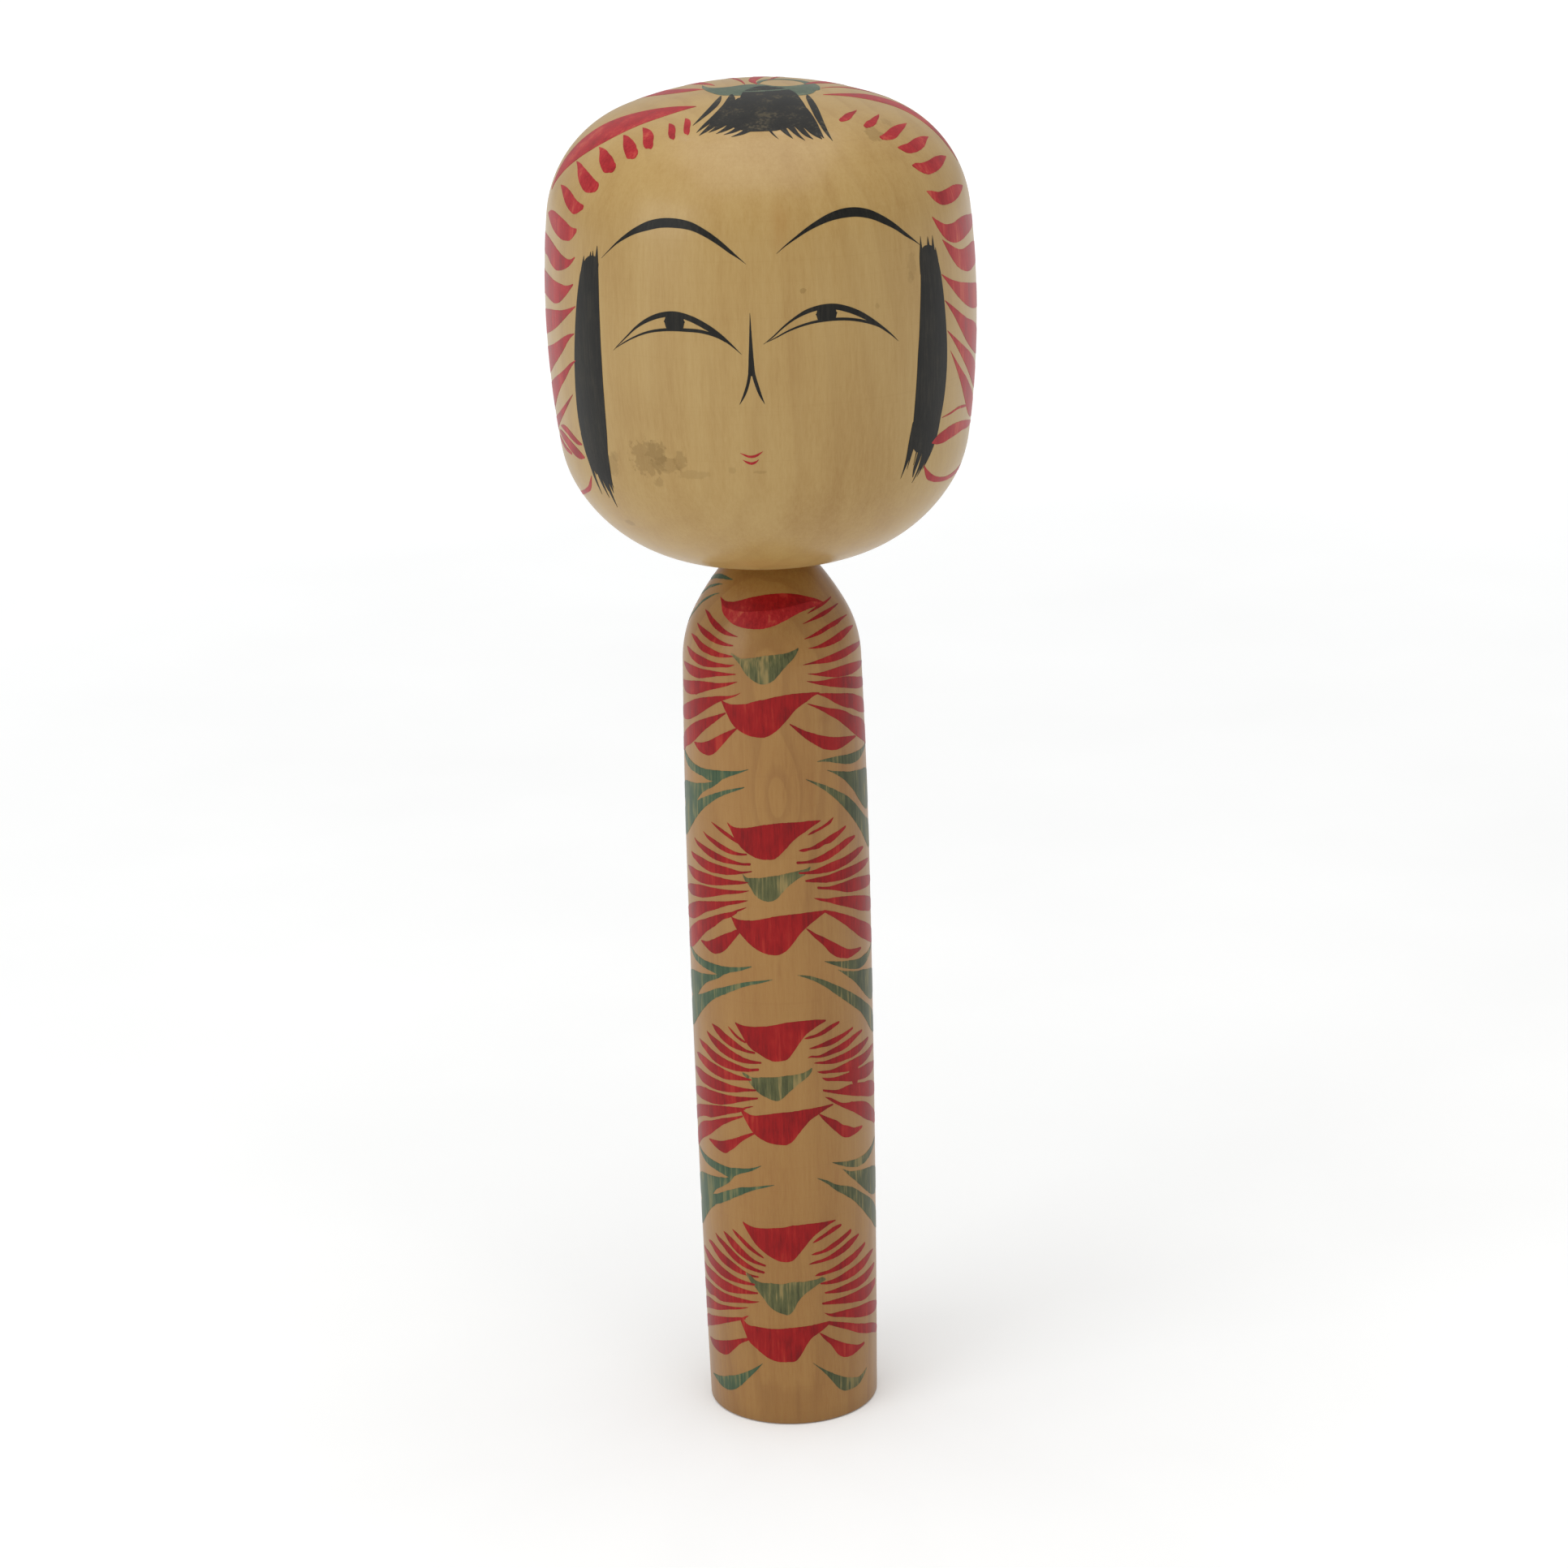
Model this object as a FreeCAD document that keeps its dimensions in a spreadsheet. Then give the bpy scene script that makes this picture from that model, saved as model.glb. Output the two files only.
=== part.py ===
import FreeCAD, Part
import math
import os
import Sketcher

# A turned wooden doll: a slim body, a large head, and the dowel that joins them.
# Frame: millimetres, +Z up along the lathe axis, origin at the centre of the base,
# face towards -Y. The head turns on the dowel about Z.

os.makedirs("parts", exist_ok=True)
doc = FreeCAD.newDocument("kokeshi")

# ------------------------------------------------------------------ dimensions
sheet = doc.addObject("Spreadsheet::Sheet", "Dimensions")
VALUE = {}


def dim(alias, value, note):
    row = len(VALUE) + 1
    sheet.set("A%d" % row, note)
    sheet.set("B%d" % row, "%.4f" % value)
    sheet.setAlias("B%d" % row, alias)
    VALUE[alias] = float(value)


# Head outline, from the crown down. Each arc ends at (x, z) with the radius given.
dim("crown_z", 303.0, "height of the crown, and of the whole doll")
dim("dome_end_x", 28.535, "the dome, centred on the axis, ends")
dim("dome_end_z", 297.799, "the dome, centred on the axis, ends")
dim("brow_radius", 25.773, "arc from the dome round to the side")
dim("brow_end_x", 45.072, "brow arc ends")
dim("brow_end_z", 276.398, "brow arc ends")
dim("temple_radius", 195.226, "flat arc above the widest point")
dim("temple_end_x", 46.157, "widest point of the head")
dim("temple_end_z", 255.839, "widest point of the head")
dim("cheek_radius", 206.242, "flat arc below the widest point")
dim("cheek_end_x", 44.058, "cheek arc ends")
dim("cheek_end_z", 226.486, "cheek arc ends")
dim("jaw_radius", 25.115, "arc of the jaw")
dim("jaw_end_x", 40.877, "jaw arc ends")
dim("jaw_end_z", 217.380, "jaw arc ends")
dim("chin_radius", 33.967, "arc under the jaw")
dim("chin_end_x", 18.620, "edge of the flat-cut underside")
dim("underside_z", 201.300, "height of the flat-cut underside")

# Body outline, from the seat under the head down to the base.
dim("seat_x", 7.75, "radius of the flat seat under the head")
dim("seat_z", 201.10, "height of the seat, 0.2 below the head")
dim("neck_radius", 61.304, "arc of the steep upper shoulder")
dim("neck_end_x", 16.655, "upper shoulder ends")
dim("neck_end_z", 188.594, "upper shoulder ends")
dim("shoulder_radius", 25.235, "arc of the shoulder")
dim("shoulder_end_x", 19.651, "shoulder ends")
dim("shoulder_end_z", 177.349, "shoulder ends")
dim("barrel_radius", 2051.26, "upper side, very slightly barrelled")
dim("barrel_end_x", 20.437, "widest point of the body")
dim("barrel_end_z", 120.557, "widest point of the body")
dim("taper_radius", 6310.6, "lower side, tapering to the base")
dim("taper_end_x", 19.295, "side meets the broken edge of the base")
dim("foot_round", 0.5, "edge broken round the base")
dim("foot_x", 18.795, "radius of the flat that the doll stands on")

# The dowel and its two holes.
dim("peg_r", 4.52, "dowel radius, tight in the head")
dim("peg_up", 22.0, "dowel length above the underside")
dim("peg_down", 20.0, "dowel length below the underside")
dim("peg_chamfer", 0.8, "chamfer on both dowel ends")
dim("socket_r", 4.50, "blind socket in the head")
dim("socket_deep", 24.0, "depth of the socket's straight wall")
dim("bore_r", 4.58, "blind bore in the body, a turning fit")
dim("bore_deep", 21.5, "depth of the bore's straight wall")
dim("drill_tip", 2.6, "height of the cone left by the drill")
dim("mouth_chamfer", 0.5, "chamfer at the mouth of each hole")
doc.recompute()


# --------------------------------------------------------------------- helpers
def new_body(label):
    body = doc.addObject("PartDesign::Body", label)
    body.Label = label
    body.Placement = FreeCAD.Placement()
    return body


def plane(body, role):
    for feature in body.Origin.OriginFeatures:
        if feature.Role == role:
            return feature
    raise RuntimeError("no plane " + role)


def new_sketch(body, name):
    sketch = body.newObject("Sketcher::SketchObject", name)
    sketch.AttachmentSupport = [(plane(body, "XZ_Plane"), "")]
    sketch.MapMode = "FlatFace"
    return sketch


def bind(sketch, constraint, name, expression):
    index = sketch.addConstraint(constraint)
    sketch.renameConstraint(index, name)
    sketch.setExpression("Constraints." + name, expression)
    return index


def value(expression):
    """A number for a sum of aliases such as underside_z - peg_down."""
    total, sign = 0.0, 1.0
    for word in expression.split():
        if word == "+":
            sign = 1.0
        elif word == "-":
            sign = -1.0
        elif word in VALUE:
            total += sign * VALUE[word]
        else:
            total += sign * float(word)
    return total


def cells(expression):
    return " ".join("Dimensions." + w if w in VALUE else w for w in expression.split())


def fix_point(sketch, geo, pos, name, x, z):
    """Hold a vertex at (x, z) from the sketch origin; x of None keeps it on the axis."""
    if x is None:
        sketch.addConstraint(Sketcher.Constraint("PointOnObject", geo, pos, -2))
    else:
        bind(sketch, Sketcher.Constraint("DistanceX", -1, 1, geo, pos, value(x)), name + "_x", cells(x))
    if z is None:
        sketch.addConstraint(Sketcher.Constraint("PointOnObject", geo, pos, -1))
    else:
        bind(sketch, Sketcher.Constraint("DistanceY", -1, 1, geo, pos, value(z)), name + "_z", cells(z))


def vec(x, z):
    return FreeCAD.Vector(x, z, 0.0)


def outline(sketch, prefix, start, arcs):
    """A turned outline: arcs running down and outwards from start, then straight back
    to the axis and up it. start is (x, z); arcs are (radius, x, z); all are cell names,
    and None is the axis, the base plane, or an arc whose centre is on the axis."""
    here = start
    first = None
    last = None
    for number, (radius, x, z) in enumerate(arcs):
        p = vec(value(here[0]) if here[0] else 0.0, value(here[1]) if here[1] else 0.0)
        q = vec(value(x), value(z) if z else 0.0)
        d = q.sub(p)
        half = d.Length / 2.0
        r = VALUE[radius] if radius else half * d.Length / abs(d.y)
        inward = FreeCAD.Vector(d.y, -d.x, 0.0)
        inward.normalize()
        centre = p.add(q).multiply(0.5).add(inward.multiply(math.sqrt(r * r - half * half)))
        a_low = math.atan2(q.y - centre.y, q.x - centre.x)
        a_high = math.atan2(p.y - centre.y, p.x - centre.x)
        circle = Part.Circle(centre, FreeCAD.Vector(0, 0, 1), r)
        geo = sketch.addGeometry(Part.ArcOfCircle(circle, a_low, a_high), False)
        if last is not None:
            sketch.addConstraint(Sketcher.Constraint("Coincident", last, 1, geo, 2))
        else:
            first = geo
            fix_point(sketch, geo, 2, prefix + "_start", here[0], here[1])
        fix_point(sketch, geo, 1, "%s_p%d" % (prefix, number), x, z)
        if radius:
            bind(sketch, Sketcher.Constraint("Radius", geo, r), "%s_r%d" % (prefix, number), cells(radius))
        else:
            sketch.addConstraint(Sketcher.Constraint("PointOnObject", geo, 3, -2))
        here, last = (x, z), geo
    end = sketch.getPoint(last, 1)
    top = sketch.getPoint(first, 2)
    low = sketch.addGeometry(Part.LineSegment(end, vec(0.0, end.y)), False)
    axis = sketch.addGeometry(Part.LineSegment(vec(0.0, end.y), vec(0.0, top.y)), False)
    sketch.addConstraint(Sketcher.Constraint("Coincident", last, 1, low, 1))
    sketch.addConstraint(Sketcher.Constraint("Horizontal", low))
    sketch.addConstraint(Sketcher.Constraint("Coincident", low, 2, axis, 1))
    sketch.addConstraint(Sketcher.Constraint("PointOnObject", low, 2, -2))
    if start[0] is None:
        sketch.addConstraint(Sketcher.Constraint("Coincident", axis, 2, first, 2))
    else:
        lid = sketch.addGeometry(Part.LineSegment(vec(0.0, top.y), top), False)
        sketch.addConstraint(Sketcher.Constraint("Coincident", axis, 2, lid, 1))
        sketch.addConstraint(Sketcher.Constraint("Coincident", lid, 2, first, 2))
        sketch.addConstraint(Sketcher.Constraint("Horizontal", lid))
        sketch.addConstraint(Sketcher.Constraint("PointOnObject", lid, 1, -2))


def polygon(sketch, prefix, points):
    """A closed polygon; each point is (x, z) in cell names, None for the axis."""
    n = len(points)
    at = [vec(value(x) if x else 0.0, value(z)) for x, z in points]
    lines = [sketch.addGeometry(Part.LineSegment(at[i], at[(i + 1) % n]), False) for i in range(n)]
    for i in range(n):
        sketch.addConstraint(Sketcher.Constraint("Coincident", lines[i], 2, lines[(i + 1) % n], 1))
    for i, (x, z) in enumerate(points):
        fix_point(sketch, lines[i], 1, "%s_p%d" % (prefix, i), x, z)


def turned(body, sketch, kind, name):
    feature = body.newObject("PartDesign::" + kind, name)
    feature.Profile = sketch
    feature.ReferenceAxis = (sketch, ["V_Axis"])
    feature.Angle = 360.0
    doc.recompute()
    return feature


def must_shrink(before, after, name):
    if after.Volume >= before.Volume - 1.0:
        raise RuntimeError(name + " cut nothing")


# ------------------------------------------------------------------------ body
body = new_body("body")
body_outline = new_sketch(body, "body_outline")
outline(body_outline, "side", ("seat_x", "seat_z"), [
    ("neck_radius", "neck_end_x", "neck_end_z"),
    ("shoulder_radius", "shoulder_end_x", "shoulder_end_z"),
    ("barrel_radius", "barrel_end_x", "barrel_end_z"),
    ("taper_radius", "taper_end_x", "foot_round"),
    ("foot_round", "foot_x", None),
])
doc.recompute()
body_turning = turned(body, body_outline, "Revolution", "body_turning")
before = body_turning.Shape
bore_outline = new_sketch(body, "bore_outline")
polygon(bore_outline, "bore", [
    (None, "seat_z + 1.0"),
    ("bore_r + mouth_chamfer + 1.0", "seat_z + 1.0"),
    ("bore_r", "seat_z - mouth_chamfer"),
    ("bore_r", "seat_z - bore_deep"),
    (None, "seat_z - bore_deep - drill_tip"),
])
doc.recompute()
body_bore = turned(body, bore_outline, "Groove", "peg_bore")
must_shrink(before, body_bore.Shape, "peg_bore")
body.Tip = body_bore

# ------------------------------------------------------------------------ head
head = new_body("head")
head_outline = new_sketch(head, "head_outline")
outline(head_outline, "side", (None, "crown_z"), [
    (None, "dome_end_x", "dome_end_z"),
    ("brow_radius", "brow_end_x", "brow_end_z"),
    ("temple_radius", "temple_end_x", "temple_end_z"),
    ("cheek_radius", "cheek_end_x", "cheek_end_z"),
    ("jaw_radius", "jaw_end_x", "jaw_end_z"),
    ("chin_radius", "chin_end_x", "underside_z"),
])
doc.recompute()
head_turning = turned(head, head_outline, "Revolution", "head_turning")
before = head_turning.Shape
socket_outline = new_sketch(head, "socket_outline")
polygon(socket_outline, "socket", [
    (None, "underside_z - 1.0"),
    ("socket_r + mouth_chamfer + 1.0", "underside_z - 1.0"),
    ("socket_r", "underside_z + mouth_chamfer"),
    ("socket_r", "underside_z + socket_deep"),
    (None, "underside_z + socket_deep + drill_tip"),
])
doc.recompute()
head_socket = turned(head, socket_outline, "Groove", "peg_socket")
must_shrink(before, head_socket.Shape, "peg_socket")
head.Tip = head_socket

# -------------------------------------------------------------------- neck peg
neck_peg = new_body("neck_peg")
peg_outline = new_sketch(neck_peg, "peg_outline")
polygon(peg_outline, "peg", [
    (None, "underside_z + peg_up"),
    ("peg_r - peg_chamfer", "underside_z + peg_up"),
    ("peg_r", "underside_z + peg_up - peg_chamfer"),
    ("peg_r", "underside_z - peg_down + peg_chamfer"),
    ("peg_r - peg_chamfer", "underside_z - peg_down"),
    (None, "underside_z - peg_down"),
])
doc.recompute()
peg_turning = turned(neck_peg, peg_outline, "Revolution", "peg_turning")
neck_peg.Tip = peg_turning

# ----------------------------------------------------------------------- write
doc.recompute()
for item in doc.Objects:
    state = [str(word) for word in item.State]
    if "Invalid" in state or "Error" in state:
        raise RuntimeError("%s failed: %s" % (item.Name, state))
for piece in (body, head, neck_peg):
    shape = piece.Shape
    if shape.isNull() or not shape.isValid() or len(shape.Solids) != 1:
        raise RuntimeError(piece.Label + " is not one valid solid")
    box = shape.BoundBox
    print("%-9s volume %9.1f  x %.3f..%.3f  z %.3f..%.3f" % (
        piece.Label, shape.Volume, box.XMin, box.XMax, box.ZMin, box.ZMax))
for piece in (body, head, neck_peg):
    piece.Shape.exportStep("parts/" + piece.Label + ".step")
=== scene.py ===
import math

import bpy
import numpy as np
from mathutils import Matrix, Vector


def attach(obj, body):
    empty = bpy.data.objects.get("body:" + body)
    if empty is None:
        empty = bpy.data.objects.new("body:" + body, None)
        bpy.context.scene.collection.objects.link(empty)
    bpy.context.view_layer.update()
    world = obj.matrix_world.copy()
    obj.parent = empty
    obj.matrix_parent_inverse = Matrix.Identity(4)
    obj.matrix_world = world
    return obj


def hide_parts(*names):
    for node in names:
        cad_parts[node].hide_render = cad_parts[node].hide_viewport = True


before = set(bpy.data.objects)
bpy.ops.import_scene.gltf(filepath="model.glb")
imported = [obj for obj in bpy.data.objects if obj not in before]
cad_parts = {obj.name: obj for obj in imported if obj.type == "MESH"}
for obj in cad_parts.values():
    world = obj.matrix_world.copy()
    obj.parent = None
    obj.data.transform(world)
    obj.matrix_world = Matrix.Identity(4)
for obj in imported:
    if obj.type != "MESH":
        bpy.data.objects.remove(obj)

MM = 0.001
scene = bpy.context.scene


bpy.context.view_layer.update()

# ------------------------------------------------------------------ camera
# Same viewing angle as the picture: about 17 degrees above the middle of the
# doll, from a little under 0.9 m, with the frame turned by 1.7 degrees.
EYE = Vector((0.0, -0.85153, 0.412718))
AIM = Vector((0.001806, 0.0, 0.147402))
ROLL = math.radians(-1.717)
fwd = (AIM - EYE).normalized()
side = fwd.cross(Vector((0, 0, 1))).normalized()
up = side.cross(fwd)
cam_x = math.cos(ROLL) * side + math.sin(ROLL) * up
cam_y = -math.sin(ROLL) * side + math.cos(ROLL) * up
cam_data = bpy.data.cameras.new("camera")
cam_data.sensor_fit = "HORIZONTAL"
cam_data.sensor_width = 36.0
cam_data.lens = 92.09
cam_data.clip_start = 0.05
cam_data.clip_end = 40.0
camera = bpy.data.objects.new("camera", cam_data)
rot = Matrix((cam_x, cam_y, -fwd)).transposed()
camera.matrix_world = Matrix.Translation(EYE) @ rot.to_4x4()
scene.collection.objects.link(camera)
scene.camera = camera
scene.view_settings.view_transform = "Standard"
scene.view_settings.look = "None"

# ------------------------------------------------------------------ lights
world = bpy.data.worlds.new("studio")
scene.world = world
world.use_nodes = True
bg = world.node_tree.nodes["Background"]
bg.inputs["Color"].default_value = (0.97, 0.985, 1.0, 1)
bg.inputs["Strength"].default_value = 0.58


def soft_light(name, place, aim, size, power, colour=(1, 1, 1), size_y=None):
    data = bpy.data.lights.new(name, "AREA")
    data.shape = "RECTANGLE"
    data.size = size
    data.size_y = size_y or size
    data.energy = power
    data.color = colour
    obj = bpy.data.objects.new(name, data)
    direction = Vector(aim) - Vector(place)
    obj.rotation_euler = direction.to_track_quat("-Z", "Y").to_euler()
    obj.location = place
    scene.collection.objects.link(obj)
    return obj


soft_light("top_softbox", (0.0, -0.35, 1.75), (0, 0, 0.15), 1.6, 17.0, (1.0, 0.985, 0.96))
soft_light("left_softbox", (-1.25, -0.95, 0.75), (0, 0, 0.18), 0.9, 6.0, (0.93, 0.97, 1.0))
for i, x in enumerate((-0.30, -0.10, 0.10, 0.30)):
    soft_light("ceiling_lamp_%d" % i, (x, 0.35, 1.15), (0, 0, 0.3), 0.035, 0.16)

# ------------------------------------------------------------------ surfaces
# Outlines of the two turnings, in mm: arcs (radius, end x, end z), each
# bulging outwards from the end of the one before it.
HEAD_ARCS = ((0.0, 303.0), [(80.878353, 28.535, 297.799), (25.773, 45.072, 276.398),
                            (195.226, 46.157, 255.839), (206.242, 44.058, 226.486),
                            (25.115, 40.877, 217.380), (33.967, 18.620, 201.300)])
BODY_ARCS = ((7.75, 201.10), [(61.304, 16.655, 188.594), (25.235, 19.651, 177.349),
                              (2051.26, 20.437, 120.557), (6310.6, 19.295, 0.5),
                              (0.5, 18.795, 0.0)])


def trace(spec, step):
    p = np.array(spec[0], float)
    pts, nrm = [], []
    for radius, x, z in spec[1]:
        q = np.array([x, z], float)
        d = q - p
        half = np.linalg.norm(d) / 2
        inward = np.array([d[1], -d[0]]) / (2 * half)
        c = (p + q) / 2 + inward * math.sqrt(radius * radius - half * half)
        a0 = math.atan2(p[1] - c[1], p[0] - c[0])
        a1 = math.atan2(q[1] - c[1], q[0] - c[0])
        n = max(6, int(abs(a1 - a0) * radius / step) + 1)
        a = np.linspace(a0, a1, n)
        nn = np.stack([np.cos(a), np.sin(a)], 1)
        pp = c + radius * nn
        if pts:
            pp, nn = pp[1:], nn[1:]
        pts.append(pp)
        nrm.append(nn)
        p = q
    return np.vstack(pts), np.vstack(nrm)


class Turned:
    """A turned surface: angle (degrees, 0 in front, + towards +X) and arc length in mm."""

    def __init__(self, spec):
        self.p, self.n = trace(spec, 0.05)
        self.s = np.r_[0, np.cumsum(np.linalg.norm(np.diff(self.p, axis=0), axis=1))]

    def at(self, uv):
        th, s = np.radians(uv[..., 0]), uv[..., 1]
        r = np.interp(s, self.s, self.p[:, 0])
        z = np.interp(s, self.s, self.p[:, 1])
        nr = np.interp(s, self.s, self.n[:, 0])
        nz = np.interp(s, self.s, self.n[:, 1])
        sn, cs = np.sin(th), np.cos(th)
        return np.stack([r * sn, -r * cs, z], -1), np.stack([nr * sn, -nr * cs, nz], -1)

    def scale(self, uv):
        r = np.interp(uv[..., 1], self.s, self.p[:, 0])
        return np.stack([np.maximum(r, 0.5) * math.pi / 180, np.ones_like(r)], -1)


class Crown:
    """The top of a turned surface seen from above: plan x and y in mm."""

    def __init__(self, turned):
        self.t = turned
        keep = np.arange(len(turned.s)) <= np.argmax(turned.p[:, 0])
        self.r, self.s = turned.p[keep, 0], turned.s[keep]

    def at(self, xy):
        rho = np.hypot(xy[..., 0], xy[..., 1])
        th = np.degrees(np.arctan2(xy[..., 0], -xy[..., 1]))
        return self.t.at(np.stack([th, np.interp(rho, self.r, self.s)], -1))

    def scale(self, xy):
        return np.ones_like(xy)


HEAD = Turned(HEAD_ARCS)
BODY = Turned(BODY_ARCS)
CROWN = Crown(HEAD)


def noise1(x, seed):
    """Smooth repeatable noise along a line, -1..1."""
    i = np.floor(x).astype(int)
    f = x - i
    f = f * f * (3 - 2 * f)

    def h(k):
        v = np.sin((k * 127.1 + seed * 311.7) * 0.7310585) * 43758.5453
        return (v - np.floor(v)) * 2 - 1

    return h(i) * (1 - f) + h(i + 1) * f


def curve(t, y, tt):
    """Smooth curve through stations (cubic, slopes from the neighbours)."""
    y = np.asarray(y, float)
    if len(t) == 2:
        k = ((tt - t[0]) / (t[1] - t[0]))[:, None]
        return y[0] + (y[1] - y[0]) * k
    sec = (y[1:] - y[:-1]) / (t[1:] - t[:-1])[:, None]
    m = np.empty_like(y)
    w0, w1 = (t[1:-1] - t[:-2])[:, None], (t[2:] - t[1:-1])[:, None]
    m[1:-1] = (sec[:-1] * w1 + sec[1:] * w0) / (w0 + w1)
    m[0], m[-1] = 1.5 * sec[0] - 0.5 * m[1], 1.5 * sec[-1] - 0.5 * m[-2]
    i = np.clip(np.searchsorted(t, tt, "right") - 1, 0, len(t) - 2)
    h = (t[i + 1] - t[i])[:, None]
    x = ((tt - t[i]) / (t[i + 1] - t[i]))[:, None]
    return (y[i] * (1 + 2 * x) * (1 - x) ** 2 + m[i] * h * x * (1 - x) ** 2
            + y[i + 1] * x * x * (3 - 2 * x) + m[i + 1] * h * x * x * (x - 1))


TOP, SUNK = 0.034, 0.06          # mm above and below the wood
count = [0]


class Paint:
    """A named piece of brushwork: thin closed films of dye that follow the wood."""

    def __init__(self, name, chart, body, material, ragged=0.0, step=0.3, across=0.9):
        self.name, self.chart, self.body, self.material = name, chart, body, material
        self.ragged, self.step, self.across = ragged, step, across
        self.verts, self.faces = [], []
        self.n = 0

    def _film(self, a, b):
        mid, half = (a + b) / 2, (a - b) / 2
        pos, _ = self.chart.at(mid)
        seg = np.maximum(np.linalg.norm(np.diff(pos, axis=0), axis=1), 1e-4)
        wide = np.linalg.norm(self.chart.at(a)[0] - self.chart.at(b)[0], axis=1)
        caps = []
        for end, nxt, k in ((0, 1, 0), (-1, -2, -1)):
            w = wide[end] / 2
            tangent = (mid[end] - mid[nxt]) / seg[k]
            tau = np.array([0.35, 0.65, 0.86, 0.97]) if w > 0.12 else np.array([0.9])
            reach = w if w > 0.12 else 0.05
            cm = mid[end] + tangent * (tau[:, None] * reach)
            ch = half[end] * np.sqrt(1 - tau[:, None] ** 2)
            caps.append((cm, ch))
        mid = np.vstack([caps[0][0][::-1], mid, caps[1][0]])
        half = np.vstack([caps[0][1][::-1], half, caps[1][1]])
        m = max(2, int(math.ceil(wide.max() / self.across)))
        k = np.linspace(1, -1, m + 1)
        uv = mid[:, None, :] + half[:, None, :] * k[None, :, None]
        pos, nor = self.chart.at(uv)
        count[0] += 1
        lift = TOP + 0.0011 * (count[0] % 9)
        top, bot = pos + nor * lift, pos - nor * SUNK
        n = len(mid)
        flip = np.cross(pos[n // 2, 0] - pos[n // 2, -1], pos[n // 2 + 1, 0] - pos[n // 2, 0])
        flip = float(np.dot(flip, nor[n // 2, 0])) < 0
        self._close(top, bot, n, m, flip)

    def _close(self, top, bot, n, m, flip):
        base = self.n
        w = m + 1
        self.verts.append(top.reshape(-1, 3))
        self.verts.append(bot.reshape(-1, 3))
        i, j = np.meshgrid(np.arange(n - 1), np.arange(m), indexing="ij")
        v00 = (i * w + j).ravel() + base
        v01, v10, v11 = v00 + 1, v00 + w, v00 + w + 1
        off = n * w
        up_f = np.stack([v00, v10, v11, v01], 1)
        dn_f = np.stack([v00, v01, v11, v10], 1) + off
        ii = np.arange(n - 1)
        l0 = ii * w + base
        left = np.stack([l0, l0 + off, l0 + w + off, l0 + w], 1)
        r0 = ii * w + m + base
        right = np.stack([r0, r0 + w, r0 + w + off, r0 + off], 1)
        jj = np.arange(m)
        s0 = jj + base
        start = np.stack([s0, s0 + 1, s0 + 1 + off, s0 + off], 1)
        e0 = (n - 1) * w + jj + base
        stop = np.stack([e0, e0 + off, e0 + 1 + off, e0 + 1], 1)
        faces = np.vstack([up_f, dn_f, left, right, start, stop])
        if not flip:
            faces = faces[:, ::-1]
        self.faces.append(faces)
        self.n += 2 * off

    def edges(self, a, b, ragged=None):
        """Stroke between two edges given as paired stations."""
        a, b = np.array(a, float), np.array(b, float)
        pos, _ = self.chart.at((a + b) / 2)
        t = np.r_[0, np.cumsum(np.linalg.norm(np.diff(pos, axis=0), axis=1))]
        n = max(6, int(t[-1] / self.step) + 1)
        tt = np.linspace(0, t[-1], n)
        aa, bb = curve(t, a, tt), curve(t, b, tt)
        rag = self.ragged if ragged is None else ragged
        if rag:
            seed = count[0] + 3
            w = np.abs(aa[:, 1] - bb[:, 1])
            room = np.clip(w / 1.6, 0.12, 1.0)
            for e, sgn, sd in ((aa, -1, seed), (bb, 1, seed + 57)):
                fine = noise1(tt / 0.31, sd) * 0.45 + noise1(tt / 0.95, sd + 9) * 0.4
                spike = np.clip(noise1(tt / 0.36, sd + 21) - 0.62, 0, 1) * 3.0
                e[:, 1] += sgn * rag * room * (fine + spike)
        sc = self.chart.scale((aa + bb) / 2)
        thin = np.linalg.norm((aa - bb) * sc, axis=1) < 0.05
        if thin.any():
            mid = (aa + bb) / 2
            d = a[len(a) // 2] - b[len(b) // 2]
            d = d / np.linalg.norm(d * sc[n // 2])
            aa[thin] = mid[thin] + d * 0.025
            bb[thin] = mid[thin] - d * 0.025
        self._film(aa, bb)
        return self

    def h(self, *st, ragged=None):
        """Stations (angle, upper edge, lower edge), along the grain-crossing direction."""
        return self.edges([(u, a) for u, a, b in st], [(u, b) for u, a, b in st], ragged)

    def v(self, *st):
        """Stations (arc length, left angle, right angle)."""
        return self.edges([(a, s) for s, a, b in st], [(b, s) for s, a, b in st], 0)

    def sp(self, *st):
        """Spine stations (u, v, width in mm)."""
        st = np.array(st, float)
        pos, _ = self.chart.at(st[:, :2])
        t = np.r_[0, np.cumsum(np.linalg.norm(np.diff(pos, axis=0), axis=1))]
        n = max(8, int(t[-1] / self.step) + 1)
        c = curve(t, st, np.linspace(0, t[-1], n))
        mid, w = c[:, :2], np.maximum(c[:, 2], 0.05)
        sc = self.chart.scale(mid)
        d = np.gradient(mid, axis=0) * sc
        d /= np.maximum(np.linalg.norm(d, axis=1), 1e-9)[:, None]
        perp = np.stack([-d[:, 1], d[:, 0]], 1) / sc
        self._film(mid + perp * w[:, None] / 2, mid - perp * w[:, None] / 2)
        return self

    def done(self):
        v = np.vstack(self.verts) * MM
        f = np.vstack(self.faces)
        mesh = bpy.data.meshes.new(self.name)
        mesh.from_pydata(v.tolist(), [], f.tolist())
        mesh.update()
        obj = bpy.data.objects.new(self.name, mesh)
        scene.collection.objects.link(obj)
        mesh.shade_smooth()
        mesh.set_sharp_from_angle(angle=math.radians(38))
        mesh.materials.append(self.material)
        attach(obj, self.body)
        return obj


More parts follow.
